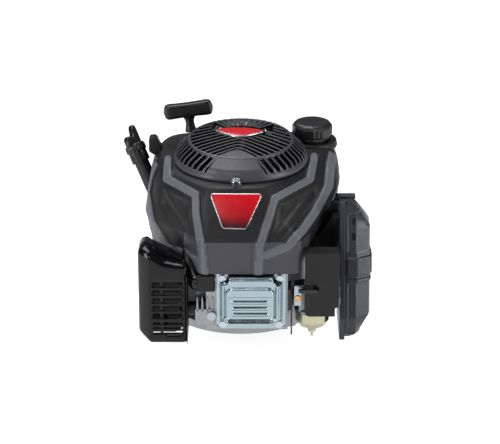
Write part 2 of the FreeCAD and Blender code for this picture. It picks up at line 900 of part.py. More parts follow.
def head_gasket():
    plate = head_outline_box(barrel_front_y, head_back_y)
    tools = [rod_y_dir(bore_radius + 1.0, head_back_y - 1.0, barrel_front_y + 1.0, 0.0, cylinder_z)]
    for x, z in head_screw_points:
        tools.append(rod_y_dir(case_screw_radius, head_back_y - 1.0, barrel_front_y + 1.0, x, z))
    for z in (exhaust_z, intake_z):
        tools.append(rod_y_dir(pushrod_tunnel_radius, head_back_y - 1.0, barrel_front_y + 1.0, cam_x, z))
    return take(plate, tools)


def spring_seat_y():
    return head_front_y + 4.0


def cylinder_head():
    body = head_outline_box(head_back_y, head_front_y)
    tools = [rod_y_dir(chamber_radius, head_back_y - chamber_depth, head_back_y + 1.0, 0.0, cylinder_z)]
    roof = head_back_y - chamber_depth
    for z in (exhaust_z, intake_z):
        tools.append(rod_y_dir(pocket_radius, roof - pocket_depth, roof + 1.0, valve_x, z))
        tools.append(rod_y_dir(valve_stem_radius + running_gap, head_front_y - 20.0, roof, valve_x, z))
        tools.append(rod_y_dir(spring_outer_radius + 1.5, head_front_y - 1.0, spring_seat_y(), valve_x, z))
        tools.append(rod_y_dir(pushrod_tunnel_radius, head_front_y - 1.0, head_back_y + 1.0, cam_x, z))
        tools.append(rod_y_dir(valve_head_radius + loose_gap, roof - 2.5, roof + 1.0, valve_x, z))
    port_y = roof - 8.5
    knee = V(36.0, port_y, intake_port_z)
    tools.append(rod_between(port_radius - 1.0, V(valve_x, port_y, intake_z), knee))
    tools.append(rod_between(port_radius - 1.0, knee, V(head_right + 1.0, port_y, intake_port_z)))
    tools.append(Part.makeSphere(port_radius - 1.0, knee))
    tools.append(rod_between(port_radius, V(valve_x, port_y, exhaust_z), V(head_left - 1.0, port_y, exhaust_z)))
    for x, z in head_screw_points:
        tools.append(rod_y_dir(case_screw_radius, head_front_y - 1.0, head_back_y + 1.0, x, z))
    tools.append(rod_between(plug_thread_radius, plug_tip.sub(plug_outward * 8.0), plug_at(30.0)))
    tools.append(rod_between(plug_hex_radius + 3.0, plug_at(19.0), plug_at(60.0)))
    for x, z in cover_screw_points():
        tools.append(rod_y_dir(screw_radius, head_front_y - 1.0, head_front_y + 9.0, x, z))
    body = take(body, tools)
    posts = []
    for z, side in ((exhaust_z, 1.0), (intake_z, -1.0)):
        near = z + side * (rocker_half_height + 0.6)
        far = z + side * (rocker_half_height + 5.0)
        post = box(rocker_pivot_x - 5.0, rocker_pivot_x + 5.0, rocker_pivot_y - 6.0, head_front_y + 1.0,
                   min(near, far), max(near, far))
        end = z - side * rocker_half_height
        pin = rod_z(rocker_pivot_radius, min(end, far), max(end, far), rocker_pivot_x, rocker_pivot_y)
        posts += [post, pin]
    return join([body] + posts)


def plug_at(distance):
    return plug_tip.add(plug_outward * distance)


def cover_screw_points():
    left = cover_left + cover_screw_inset
    right = cover_right - cover_screw_inset
    low = cover_bottom + cover_screw_inset
    high = cover_top - cover_screw_inset - 4.0
    return ((left, low), (right, low), (left, high), (right, high))


def tappet_blank(z):
    foot = rod_y_dir(tappet_foot_radius, tappet_face_y - tappet_foot_thickness, tappet_face_y, cam_x, z)
    stem = rod_y_dir(tappet_stem_radius, tappet_stem_end_y, tappet_face_y - 1.0, cam_x, z)
    return foot.fuse(stem)


def tappet_and_pushrod(z):
    socket = Part.makeSphere(pushrod_radius, V(cam_x, tappet_stem_end_y + pushrod_radius, z))
    well = rod_y_dir(pushrod_radius, tappet_stem_end_y - 1.0, tappet_stem_end_y + pushrod_radius, cam_x, z)
    tappet = take(tappet_blank(z), [socket, well])
    rod = rod_y_dir(pushrod_radius, pushrod_end_y, tappet_stem_end_y + pushrod_radius, cam_x, z)
    tip = Part.makeSphere(pushrod_radius, V(cam_x, tappet_stem_end_y + pushrod_radius, z))
    return Part.makeCompound([tappet, rod.fuse(tip)])


def rocker(z):
    low = z - rocker_half_height
    high = z + rocker_half_height
    hub = rod_z(8.0, low, high, rocker_pivot_x, rocker_pivot_y)
    push_arm = prism([
        (rocker_pivot_x, rocker_pivot_y - 4.0), (cam_x + 3.5, pushrod_end_y - 5.5),
        (cam_x + 3.5, pushrod_end_y - 1.4), (rocker_pivot_x, rocker_pivot_y + 4.0),
    ], low + 1.0, high - 1.0)
    valve_arm = prism([
        (rocker_pivot_x, rocker_pivot_y - 6.5), (rocker_pivot_x, rocker_pivot_y - 1.5),
        (valve_x + 3.0, valve_tip_y - 1.3), (valve_x - 4.0, valve_tip_y - 1.3),
        (valve_x - 4.0, valve_tip_y - 4.5), (valve_x + 3.0, valve_tip_y - 5.0),
    ], low + 1.0, high - 1.0)
    body = join([hub, push_arm, valve_arm])
    return body.cut(rod_z(rocker_pivot_radius + running_gap, low - 1.0, high + 1.0,
                          rocker_pivot_x, rocker_pivot_y))


def valve(z):
    roof = head_back_y - chamber_depth
    head = rod_y_dir(valve_head_radius, roof - valve_head_thickness, roof, valve_x, z)
    stem = rod_y_dir(valve_stem_radius, valve_tip_y, roof - 1.0, valve_x, z)
    retainer = rod_y_dir(retainer_radius, valve_tip_y + 1.5, valve_tip_y + 4.0, valve_x, z)
    return join([head, stem, retainer])


def valve_springs():
    parts = []
    mean = spring_outer_radius - spring_wire_radius
    for z in (exhaust_z, intake_z):
        start = V(valve_x, valve_tip_y + 4.0 + spring_wire_radius, z)
        end = V(valve_x, spring_seat_y() - spring_wire_radius, z)
        parts.append(coil_spring(spring_wire_radius, mean, start, end, spring_turns))
    return Part.makeCompound(parts)


def valve_cover():
    back = head_front_y
    flange = box(cover_left, cover_right, back - cover_flange_thickness, back, cover_bottom, cover_top)
    flange = flange.makeFillet(8.0, [edge for edge in flange.Edges if is_along(edge, V(0, 1, 0))])
    outer = dish(5.0, 6.0, 8.0, back - cover_flange_thickness, cover_front_y)
    inner = dish(5.0 + cover_skin, 6.0 + cover_skin, 6.5, back + 1.0, cover_front_y + cover_skin)
    body = flange.fuse(outer)
    tools = [inner]
    for x, z in cover_screw_points():
        tools.append(rod_y_dir(cover_recess_radius, cover_front_y - 1.0, back - cover_flange_thickness, x, z))
    corners = []
    for x, z in cover_screw_points():
        wall = rod_y_dir(cover_recess_radius + cover_skin, cover_front_y + 3.0, back, x, z)
        corners.append(wall.common(box(cover_left, cover_right, cover_front_y, back, cover_bottom, cover_top)))
    body = join([body.cut(inner)] + [c.common(outer) for c in corners])
    tools = tools[1:]
    for x, z in cover_screw_points():
        tools.append(rod_y_dir(screw_radius, cover_front_y, back + 1.0, x, z))
    body = take(body, tools)
    pad = cover_pad(26.0, 17.0, cover_front_y - 0.1, cover_front_y - 2.4)
    return join([body, pad])


def cover_pad(half_x, half_z, back, front):
    middle_x = (cover_left + cover_right) / 2.0
    middle_z = (cover_bottom + cover_top) / 2.0 - 4.0
    pad = box(middle_x - half_x, middle_x + half_x, front, back + 0.4, middle_z - half_z, middle_z + half_z)
    return pad.makeFillet(6.0, [edge for edge in pad.Edges if is_along(edge, V(0, 1, 0))])


def is_along(edge, direction):
    if not isinstance(edge.Curve, Part.Line):
        return False
    return abs(abs(edge.Curve.Direction.dot(direction)) - 1.0) < 1e-6


def dish(inset_x, inset_z, corner, back, front):
    block = box(cover_left + inset_x, cover_right - inset_x, front, back,
                cover_bottom + inset_z, cover_top - inset_z)
    return block.makeFillet(corner, [edge for edge in block.Edges if is_along(edge, V(0, 1, 0))])


def flange_screw():
    shank = rod_z(screw_radius, -screw_length, 0.0)
    washer = rod_z(screw_washer_radius, 0.0, screw_washer_height)
    head = hexagon(screw_hex_radius, screw_washer_height - 0.1, screw_head_height)
    return join([shank, washer, head])


def flange_screws():
    parts = []
    for x, z in cover_screw_points():
        screw = flange_screw()
        screw.rotate(V(0, 0, 0), V(1, 0, 0), 90.0)
        screw.translate(V(x, head_front_y - cover_flange_thickness, z))
        parts.append(screw)
    for x, y, z in housing_screw_points():
        screw = flange_screw()
        screw.translate(V(x, y, z))
        parts.append(screw)
    return Part.makeCompound(parts)


# ---------------------------------------------------------------------------
# Ignition
# ---------------------------------------------------------------------------
def spark_plug():
    thread = rod_between(plug_thread_radius, plug_at(0.0), plug_at(19.0))
    nut = rod_between(plug_hex_radius, plug_at(19.0), plug_at(29.0))
    ceramic = rod_between(plug_ceramic_radius, plug_at(28.0), plug_at(48.0))
    cap = rod_between(3.2, plug_at(47.0), plug_at(54.0))
    return join([thread, nut, ceramic, cap])


def plug_boot():
    plug_room = rod_between(plug_ceramic_radius + running_gap, plug_at(28.0), plug_at(48.5))
    cap_room = rod_between(3.2 + running_gap, plug_at(48.0), plug_at(54.5))
    room = plug_room.fuse(cap_room)
    start = plug_at(46.0)
    lead_hole = rod_between(lead_radius, start.add(spout_direction * 12.0), start.add(spout_direction * 24.0))
    ball = Part.makeSphere(boot_radius, start)
    skirt = rod_between(boot_radius - 2.5, plug_at(30.5), start)
    spout = rod_between(6.5, start, start.add(spout_direction * 20.0))
    parts = [shape.cut(room).cut(lead_hole) for shape in (ball, skirt, spout)]
    return parts[0].fuse(parts[1]).fuse(parts[2])


def lead_points():
    start = plug_at(46.0).add(spout_direction * 12.0)
    knee = plug_at(46.0).add(spout_direction * 46.0)
    return [start, knee, coil_at(lead_entry_distance, lead_entry_z)]


def coil_at(distance, height):
    x, y = on_circle(distance, coil_direction)
    return V(x, y, height)


def ignition_lead():
    wire, length = route(lead_points())
    lead = cord(wire, lead_radius)
    print("ignition lead length %.1f volume ratio %.4f" % (
        length, lead.Volume / (math.pi * lead_radius ** 2 * length)))
    return lead


def ignition_coil():
    yoke = box(flywheel_radius + coil_gap, flywheel_radius + 12.0, -16.0, 16.0, 130.0, 142.0)
    legs_gap = box(flywheel_radius - 5.0, flywheel_radius + 8.0, -7.0, 7.0, 120.0, 150.0)
    round_face = rod_z(flywheel_radius + coil_gap, 120.0, 150.0)
    winding = box(flywheel_radius + 8.0, flywheel_radius + 26.0, -13.0, 13.0, 124.0, 148.0)
    body = join([take(yoke, [legs_gap, round_face]), winding])
    body = turned(body, coil_direction)
    wire = route(lead_points())[0]
    return take(body, [cord(wire, lead_radius)])


# ---------------------------------------------------------------------------
# Flywheel and recoil starter
# ---------------------------------------------------------------------------
def flywheel():
    hub = rod_z(flywheel_hub_radius, flywheel_seat_z + 2.0, flywheel_top)
    disc = rod_z(flywheel_radius, flywheel_disc_bottom, flywheel_disc_top)
    rim = rod_z(flywheel_radius, flywheel_seat_z + 4.0, flywheel_top - 2.0)
    rim = rim.cut(rod_z(flywheel_rim_radius, flywheel_seat_z, flywheel_top))
    solids = [hub, disc, rim]
    for index in range(blade_count):
        blade = box(blade_inner_radius, blade_outer_radius, -blade_thickness / 2.0, blade_thickness / 2.0,
                    flywheel_disc_top - 1.0, blade_top)
        blade = turned(blade, 24.0, V(blade_outer_radius, 0, 0))
        solids.append(turned(blade, 360.0 * index / blade_count))
    body = join(solids)
    keep = rod_z(flywheel_radius, flywheel_seat_z, blade_top + 1.0)
    body = body.common(keep)
    return take(body, [rod_z(snout_radius, flywheel_seat_z, flywheel_top + 1.0)])


def flywheel_nut():
    low = snout_top + cup_wall
    nut = hexagon(nut_across, low, low + nut_height)
    return nut.cut(rod_z(thread_radius, low - 1.0, low + nut_height + 1.0))


def starter_cup():
    low = flywheel_top
    body = rod_z(cup_radius, low, cup_top)
    room = rod_z(cup_radius - cup_wall, low + cup_wall, cup_top + 1.0)
    hole = rod_z(thread_radius, low - 1.0, low + cup_wall + 1.0)
    tools = [room, hole]
    for index in range(6):
        slot = box(cup_radius - 5.0, cup_radius + 5.0, -4.0, 4.0, low + 8.0, cup_top - 12.0)
        tools.append(turned(slot, 60.0 * index + 30.0))
    return take(body, tools)


def starter_reel():
    core = rod_z(reel_groove_radius, reel_bottom, reel_top)
    low_cheek = rod_z(reel_radius, reel_bottom, reel_bottom + reel_cheek)
    high_cheek = rod_z(reel_radius, reel_top - reel_cheek, reel_top)
    boss = rod_z(reel_boss_radius, reel_boss_bottom, reel_bottom + 1.0)
    pin = rod_z(pawl_pin_radius, pawl_bottom - 1.0, reel_boss_bottom + 1.0, pawl_pivot_x, 0.0)
    body = join([core, low_cheek, high_cheek, boss, pin])
    tools = [rod_z(reel_post_radius + running_gap, reel_boss_bottom - 1.0, reel_top + 1.0)]
    for index in range(6):
        x, y = on_circle(37.0, 60.0 * index + 30.0)
        tools.append(rod_z(7.5, reel_bottom - 1.0, reel_top + 1.0, x, y))
    return take(body, tools)


def starter_pawl():
    hub = rod_z(5.0, pawl_bottom, pawl_top, pawl_pivot_x, 0.0)
    arm = prism([
        (pawl_pivot_x - 5.0, 0.0), (pawl_pivot_x + 5.0, 0.0),
        (pawl_pivot_x + 1.5, 13.5), (pawl_pivot_x - 3.0, 12.5),
    ], pawl_bottom, pawl_top)
    body = hub.fuse(arm)
    return body.cut(rod_z(pawl_pin_radius + running_gap, pawl_bottom - 1.0, pawl_top + 1.0,
                          pawl_pivot_x, 0.0))


def rewind_spring():
    outer_edge = []
    inner_edge = []
    steps = spring_coils * 24
    for index in range(steps + 1):
        degrees = 360.0 * spring_coils * index / steps
        radius = spring_inner_radius + spring_spacing * degrees / 360.0
        outer_edge.append(on_circle(radius + spring_strip / 2.0, degrees))
        inner_edge.append(on_circle(radius - spring_strip / 2.0, degrees))
    inner_edge.reverse()
    return prism(outer_edge + inner_edge, spring_bottom, spring_top)


def handle_foot():
    return guide_corner.add(handle_axis * handle_stem_foot)


def rope_touch_angle():
    reach = math.hypot(guide_corner.x, guide_corner.y)
    heading = math.degrees(math.atan2(guide_corner.y, guide_corner.x))
    return heading + math.degrees(math.acos(rope_line_radius / reach))


def starter_rope():
    touch = rope_touch_angle()
    x, y = on_circle(rope_line_radius, touch)
    touch_point = V(x, y, rope_z)
    wrap_end = touch + 300.0
    ex, ey = on_circle(rope_line_radius, wrap_end)
    mx, my = on_circle(rope_line_radius, touch + 150.0)
    wrap = Part.Arc(V(ex, ey, rope_z), V(mx, my, rope_z), touch_point).toShape()
    radius, turn = bend_radius(touch_point, guide_corner, handle_foot())
    straight, length = route([touch_point, guide_corner, handle_foot().add(handle_axis * 6.0)])
    wire = Part.Wire([wrap] + straight.OrderedEdges)
    total = length + math.radians(300.0) * rope_line_radius
    rope = cord(wire, rope_radius)
    print("starter rope length %.1f radius %.1f volume ratio %.4f" % (
        total, radius, rope.Volume / (math.pi * rope_radius ** 2 * total)))
    return rope


def starter_handle():
    waist = handle_waist_height - handle_stem_foot
    lower = Part.makeCone(handle_stem_radius, handle_waist_radius, waist, V(0, 0, handle_stem_foot))
    upper = Part.makeCone(handle_waist_radius, handle_stem_radius, handle_bar_height - handle_waist_height,
                          V(0, 0, handle_waist_height))
    stem = lower.fuse(upper)
    bar = box(-handle_half_length, handle_half_length, -handle_half_depth, handle_half_depth,
              handle_bar_height - handle_half_height, handle_bar_height + handle_half_height)
    bar = bar.makeFillet(handle_rounding, bar.Edges)
    body = stem.fuse(bar)
    knot_room = rod_z(rope_radius, handle_stem_foot - 1.0, handle_stem_foot + 6.0)
    body = body.cut(knot_room)
    body.rotate(V(0, 0, 0), V(0, 0, 1), handle_turn)
    spin = FreeCAD.Rotation(V(0, 0, 1), handle_axis)
    body.Placement = FreeCAD.Placement(guide_corner, spin).multiply(body.Placement)
    return body


# ---------------------------------------------------------------------------
# Blower housing, grille and plates
# ---------------------------------------------------------------------------
def housing_envelope(distance, top, bottom):
    return lofted((
        (bottom, inset(skirt_outline, distance)),
        (crease_z, inset(crease_outline, distance)),
        (shoulder_z - distance, inset(shoulder_outline, distance)),
        (top, inset(deck_outline, distance)),
    ))


def skirt_trim():
    left = prism_y([(-160.0, 90.0), (-40.0, 90.0), (-52.0, 104.0), (-66.0, 103.0), (-104.0, 112.0),
                    (-128.0, 122.0), (-160.0, 170.0)], -170.0, 160.0)
    right = prism_y([(170.0, 90.0), (76.0, 90.0), (84.0, 106.0), (91.0, 112.0), (93.0, 136.0),
                     (133.0, 176.0), (170.0, 224.0)], -170.0, 16.0)
    rear_right = prism_y([(170.0, 90.0), (76.0, 90.0), (84.0, 116.0), (170.0, 116.0)], 10.0, 160.0)
    nose = box(-50.0, 95.0, -170.0, -135.0, 80.0, 113.0)
    rear = box(-160.0, 160.0, -90.0, 170.0, 80.0, 116.0)
    return [left, right, rear_right, nose, rear]


def filler_axis_point(distance):
    down = filler_bend.sub(filler_top).normalize()
    return filler_top.add(down * distance)


def blower_housing():
    shell = housing_envelope(0.0, deck_top, skirt_z).cut(housing_envelope(skin, deck_top - skin, skirt_z - 1.0))
    tools = skirt_trim()
    tools.append(rod_z(intake_hole_radius, deck_top - 20.0, deck_top + 5.0))
    tools.append(rod_between(filler_radius + 2.5, filler_axis_point(0.0), filler_axis_point(150.0)))
    tools.append(rod_z(neck_radius + neck_wall + 1.0, tank_top, deck_top + 9.0, cap_x, cap_y))
    tools.append(rod_between(rope_guide_radius - 1.0, guide_corner, guide_corner.add(handle_axis * 50.0)))
    shell = take(shell, tools)
    arms = [rod_z(spider_hub_radius, deck_top - spider_depth - 2.0, deck_top)]
    for angle in (90.0, 210.0, 330.0):
        arm = box(0.0, intake_hole_radius + 6.0, -spider_arm_width / 2.0, spider_arm_width / 2.0,
                  deck_top - spider_depth, deck_top)
        arms.append(turned(arm, angle))
    post = rod_z(reel_post_radius, reel_boss_bottom - 2.0, deck_top - 2.0)
    collar = rod_z(cap_radius + 5.0, deck_top - skin, deck_top + 3.0, cap_x, cap_y)
    collar = take(collar, [rod_z(neck_radius + neck_wall + 1.0, tank_top, deck_top + 9.0, cap_x, cap_y),
                           rod_z(grille_radius + 1.0, deck_top, deck_top + 20.0)])
    low = (deck_top - skin - rope_z) / handle_axis.z
    high = (rope_guide_top - rope_z) / handle_axis.z
    guide = rod_between(rope_guide_radius, guide_corner.add(handle_axis * (low - 2.0)),
                        guide_corner.add(handle_axis * high))
    guide = guide.cut(rod_z(grille_radius + 1.0, deck_top, deck_top + 20.0))
    clip = box(filler_clip_left, filler_clip_right, filler_top.y - filler_clip_half_depth,
               filler_top.y + filler_clip_half_depth, filler_clip_bottom, filler_clip_top)
    bore = rod_between(rope_guide_bore, guide_corner, guide_corner.add(handle_axis * 50.0))
    body = join([shell] + arms + [post, collar, guide, clip])
    tools = [bore]
    for x, y, z in housing_screw_points():
        tools.append(rod_z(screw_radius, deck_top - 12.0, deck_top + 1.0, x, y))
    return take(body, tools)


def housing_screw_points():
    points = []
    for angle in grille_screw_angles:
        x, y = on_circle(grille_screw_ring, angle)
        points.append((x, y, deck_top + 4.0))
    return points


def grille_profile(offset, low):
    return [
        (grille_radius - offset, low),
        (grille_radius - offset, deck_top + grille_base_height),
        (grille_radius - 8.0 - offset, grille_shoulder_z - offset * 0.5),
        (grille_top_radius - offset * 0.3, grille_top_z - offset),
        (0.0, grille_top_z - offset),
        (0.0, low),
    ]


def spun(profile):
    corners = [V(r, 0.0, z) for r, z in profile]
    face = Part.Face(Part.makePolygon(corners + [corners[0]]))
    return face.revolve(V(0, 0, 0), V(0, 0, 1), 360.0)


def louvre(index):
    apex = 20.0 - index * louvre_pitch
    drop = 0.42
    half = 62.0
    points = [
        (-half, apex - half * drop), (0.0, apex), (half, apex - half * drop),
        (half, apex - half * drop - louvre_width), (0.0, apex - louvre_width),
        (-half, apex - half * drop - louvre_width),
    ]
    return prism(points, grille_top_z - 10.0, grille_top_z + 10.0)


def fan_grille():
    outer = spun(grille_profile(0.0, deck_top))
    inner = spun(grille_profile(grille_skin, deck_top - 1.0))
    body = outer.cut(inner)
    tools = []
    for index in range(grille_slot_count):
        angle = 360.0 * index / grille_slot_count
        heading = (angle - styling_turn) % 360.0
        if grille_panel_from < heading < grille_panel_to:
            continue
        slot = box(grille_top_radius - 9.0, grille_radius + 4.0, -grille_slot_width / 2.0,
                   grille_slot_width / 2.0, deck_top + grille_base_height, grille_top_z + 2.0)
        keep_top = rod_z(grille_top_radius - 6.0, deck_top, grille_top_z + 4.0)
        tools.append(turned(slot.cut(keep_top), angle))
    body = take(body, tools)
    window = rod_z(grille_top_radius - 11.0, grille_top_z - 12.0, grille_top_z + 12.0)
    badge_keep = rod_z(35.0, grille_top_z - 12.0, grille_top_z + 12.0, 0.0, 42.0)
    slots = [louvre(index).common(window).cut(badge_keep) for index in range(louvre_count)]
    body = take(body, slots)
    ears = []
    for x, y, z in housing_screw_points():
        ears.append(rod_z(7.0, deck_top, z, x, y))
    inside = rod_z(grille_radius - grille_skin - 6.0, deck_top - 1.0, deck_top + 20.0)
    body = join([body] + [ear.cut(inside) for ear in ears])
    holes = [rod_z(screw_radius, deck_top - 1.0, z + 1.0, x, y) for x, y, z in housing_screw_points()]
    heads = [rod_z(screw_washer_radius + 0.4, z, z + 9.0, x, y) for x, y, z in housing_screw_points()]
    return take(body, holes + heads)


def top_badge():
    plate = rod_z(60.0, grille_top_z, grille_top_z + 1.6, 0.0, 88.0 - 14.0)
    other = rod_z(60.0, grille_top_z, grille_top_z + 1.6, 0.0, -14.0)
    badge = plate.common(other)
    badge.translate(V(0, -1.0, 0))
    return turned(badge, styling_turn)


def front_plate():
    corners = [(-40.0, 216.0), (33.0, 216.0), (13.0, 172.0), (-25.0, 172.0)]
    slab = prism_y(corners, -150.0, -100.0)
    outer = housing_envelope(-1.4, deck_top + 1.0, skirt_z)
    inner = housing_envelope(0.0, deck_top, skirt_z)
    return slab.common(outer).cut(inner)


# ---------------------------------------------------------------------------
# Fuel tank, cap and hose
# ---------------------------------------------------------------------------
def tank_block(distance, low, high):
    block = prism(inset(tank_outline, distance), low, high)
    return block.cut(rod_z(tank_inner_arc + distance, low - 1.0, high + 1.0))


def fuel_tank():
    outer = tank_block(0.0, tank_bottom, tank_top)
    relief = rod_between(rope_guide_radius + 4.0, guide_corner.sub(handle_axis * 8.0),
                         guide_corner.add(handle_axis * 40.0))
    slot = box(-100.0, -40.0, 60.0, 104.0, rope_z - 14.0, tank_top + 1.0)
    filler_room = rod_between(filler_radius + 3.0, filler_axis_point(-4.0), filler_axis_point(190.0))
    outer = take(outer, [relief, slot, filler_room])
    neck = rod_z(neck_radius + neck_wall, tank_top - 2.0, neck_top, cap_x, cap_y)
    spout = rod_z(4.0, tank_bottom - 14.0, tank_bottom + 1.0, 116.0, 44.0)
    body = join([outer, neck, spout])
    inner = tank_block(tank_wall, tank_bottom + tank_wall, tank_top - tank_wall)
    slot_room = box(-104.0, -36.0, 56.0, 108.0, rope_z - 18.0, tank_top + 1.0)
    filler_keep = rod_between(filler_radius + 6.0, filler_axis_point(-4.0), filler_axis_point(190.0))
    inner = take(inner, [slot_room, filler_keep])
    tools = [inner, rod_z(neck_radius, tank_top - 9.0, neck_top + 1.0, cap_x, cap_y)]
    tools.append(rod_z(2.5, tank_bottom - 15.0, tank_bottom + 8.0, 116.0, 44.0))
    return take(body, tools)


def fuel_cap_gasket():
    ring = rod_z(neck_radius + neck_wall, neck_top, neck_top + 2.0, cap_x, cap_y)
    return ring.cut(rod_z(neck_radius - 3.0, neck_top - 1.0, neck_top + 3.0, cap_x, cap_y))


def fuel_cap():
    body = rod_z(cap_radius, cap_bottom, cap_top, cap_x, cap_y)
    top_edges = [edge for edge in body.Edges if abs(edge.BoundBox.ZMin - cap_top) < 0.01]
    body = body.makeFillet(3.0, top_edges)
    grips = []
    for index in range(cap_scallops):
        x, y = on_circle(cap_radius + 2.2, 360.0 * index / cap_scallops + 15.0, cap_x, cap_y)
        grips.append(rod_z(cap_scallop_radius, cap_bottom - 1.0, cap_top - 4.0, x, y))
    room = rod_z(neck_radius + neck_wall + 0.6, cap_bottom - 1.0, neck_top + 2.0, cap_x, cap_y)
    return take(body, grips + [room])


def hose_points():
    return [V(116.0, 44.0, tank_bottom - 10.0), V(116.0, 44.0, 96.0), V(118.0, -60.0, 92.0),
            V(103.0, -84.0, 74.0), V(103.0, -108.0, 74.0)]


def fuel_hose():
    wire, length = route(hose_points())
    hose = cord(wire, 6.5).cut(cord(wire, 4.0))
    print("fuel hose length %.1f volume ratio %.4f" % (
        length, hose.Volume / (math.pi * (6.5 ** 2 - 4.0 ** 2) * length)))
    return hose


# ---------------------------------------------------------------------------
# Oil filler tube and dipstick
# ---------------------------------------------------------------------------
def filler_wire():
    return route([filler_top, filler_bend, filler_foot])[0]


def oil_filler_tube():
    wire = filler_wire()
    outer = cord(wire, filler_radius)
    collar = rod_between(filler_collar_radius, filler_axis_point(0.0), filler_axis_point(14.0))
    inner_wire = filler_wire()
    body = join([outer, collar])
    return take(body, [cord(inner_wire, filler_bore)])


def dipstick_seal():
    ring = rod_between(filler_collar_radius, filler_axis_point(-2.5), filler_axis_point(0.0))
    return ring.cut(rod_between(6.5, filler_axis_point(-6.0), filler_axis_point(4.0)))


def dipstick():
    skirt = rod_between(filler_collar_radius + 1.5, filler_axis_point(-14.0), filler_axis_point(-2.5))
    plug = rod_between(6.0, filler_axis_point(-4.0), filler_axis_point(9.0))
    blade = rod_between(dipstick_blade_radius, filler_axis_point(7.0), filler_axis_point(126.0))
    up = filler_axis_point(-1.0).sub(filler_axis_point(0.0))
    wing = prism_y([(-18.5, 0.0), (18.5, 0.0), (18.5, 19.0), (15.0, 26.0), (10.0, 27.0), (6.0, 20.0),
                    (0.0, 11.0), (-8.0, 11.5), (-15.0, 15.0), (-18.5, 12.0)], -4.0, 4.0)
    wing = turned(wing, wing_turn)
    wing.Placement = FreeCAD.Placement(filler_axis_point(-12.5), FreeCAD.Rotation(V(0, 0, 1), up))
    return join([skirt, plug, blade, wing])


# ---------------------------------------------------------------------------
# Carburettor side
# ---------------------------------------------------------------------------
def intake_flange():
    plate = box(carb_port_start, carb_port_start + 6.0, throat_y - 20.0, throat_y + 14.0,
                throat_z - 15.0, throat_z + 17.0)
    tube = rod_x_dir(15.0, carb_port_start + 5.0, carb_left, throat_y, throat_z)
    body = plate.fuse(tube)
    port_y = head_back_y - chamber_depth - 8.5
    start = V(carb_port_start - 1.0, port_y, intake_port_z)
    tools = [rod_between(7.0, start, V(carb_left + 1.0, throat_y, throat_z))]
    return take(body, tools)


def carburettor_body():
    block = box(carb_left, carb_right, throat_y - carb_half_width, throat_y + carb_half_width,
                carb_bottom, carb_top)
    throat_tube = rod_x_dir(15.0, carb_right - 1.0, filter_face_x, throat_y, throat_z)
    bowl_seat = rod_z(bowl_radius + 1.5, carb_bottom - 4.0, carb_bottom + 1.0, bowl_x, throat_y)
    inlet = rod_y_dir(4.0, throat_y + carb_half_width - 1.0, throat_y + carb_half_width + 12.0, 103.0, 74.0)
    stem = rod_z(5.0, bowl_bottom + 6.0, carb_bottom, bowl_x, throat_y)
    body = join([block, throat_tube, bowl_seat, inlet, stem])
    tools = [rod_x_dir(throat_radius, carb_left - 1.0, filter_face_x + 1.0, throat_y, throat_z)]
    tools.append(rod_z(throttle_shaft_radius + running_gap, throat_z - 10.0, carb_top + 1.0, throttle_x, throat_y))
    tools.append(rod_z(throttle_shaft_radius + running_gap, throat_z - 10.0, carb_top + 1.0, choke_x, throat_y))
    tools.append(rod_y_dir(2.0, throat_y + 12.0, throat_y + carb_half_width + 13.0, 103.0, 74.0))
    return take(body, tools)


def butterfly(x):
    disc = rod_x_dir(throat_radius - 0.5, x - 0.6, x + 0.6, throat_y, throat_z)
    shaft = rod_z(throttle_shaft_radius, throat_z - 9.5, carb_top + 4.0, x, throat_y)
    return turned(disc, 90.0, V(x, throat_y, 0)).fuse(shaft)


def throttle_lever():
    plate = prism([
        (throttle_x + 5.0, throat_y + 5.0), (throttle_x - 5.0, throat_y + 5.0),
        (throttle_x - 5.0, throat_y - throttle_arm_length), (throttle_x + 5.0, throat_y - throttle_arm_length),
    ], carb_top + 1.0, carb_top + 3.0)
    return join([butterfly(throttle_x), plate])


def choke_lever():
    plate = prism([
        (choke_x + 5.0, throat_y + 5.0), (choke_x - 4.0, throat_y + 5.0),
        (choke_x - 8.0, throat_y - choke_arm_length), (choke_x, throat_y - choke_arm_length - 1.0),
    ], carb_top + 1.0, carb_top + 4.0)
    tab_y = throat_y - choke_arm_length
    tab = box(choke_x - 28.0, choke_x - 2.0, tab_y - 2.0, tab_y + 3.0, carb_top + 1.0, carb_top + 6.0)
    return join([butterfly(choke_x), plate, tab])


def float_bowl():
    top = carb_bottom - 4.0
    outer = spun([(bowl_radius, top), (bowl_radius, bowl_bottom + 12.0), (bowl_radius - 5.0, bowl_bottom + 4.0),
                  (8.0, bowl_bottom - 3.0), (0.0, bowl_bottom - 3.0), (0.0, top)])
    inner = spun([(bowl_radius - bowl_skin, top + 1.0), (bowl_radius - bowl_skin, bowl_bottom + 12.5),
                  (bowl_radius - 6.0, bowl_bottom + 5.5), (7.0, bowl_bottom - 1.0), (0.0, bowl_bottom - 1.0),
                  (0.0, top + 1.0)])
    shell = outer.cut(inner)
    shell.translate(V(bowl_x, throat_y, 0))
    shell = shell.cut(rod_z(3.0, bowl_bottom - 5.0, bowl_bottom + 2.0, bowl_x, throat_y))
    return Part.makeCompound([shell, bowl_nut()])


def bowl_nut():
    head = hexagon(6.0, bowl_bottom - 8.5, bowl_bottom - 3.0, bowl_x, throat_y)
    spike = rod_z(2.0, bowl_bottom - 16.0, bowl_bottom - 8.0, bowl_x, throat_y)
    thread = rod_z(3.0, bowl_bottom - 3.0, bowl_bottom + 6.0, bowl_x, throat_y)
    return join([head, spike, thread])


def filter_side(grow):
    return [
        (filter_front_y + grow, filter_bottom_z + 12.0),
        (filter_front_y + grow, filter_bottom_z + 30.0),
        (filter_top_front_y + grow, filter_top_z - grow),
        (filter_top_front_y + 14.0, filter_top_z - grow),
        (filter_rear_y - grow, filter_top_z - 30.0),
        (filter_rear_y - grow, filter_bottom_z + grow),
        (filter_front_y + 10.0 + grow, filter_bottom_z + grow),
    ]


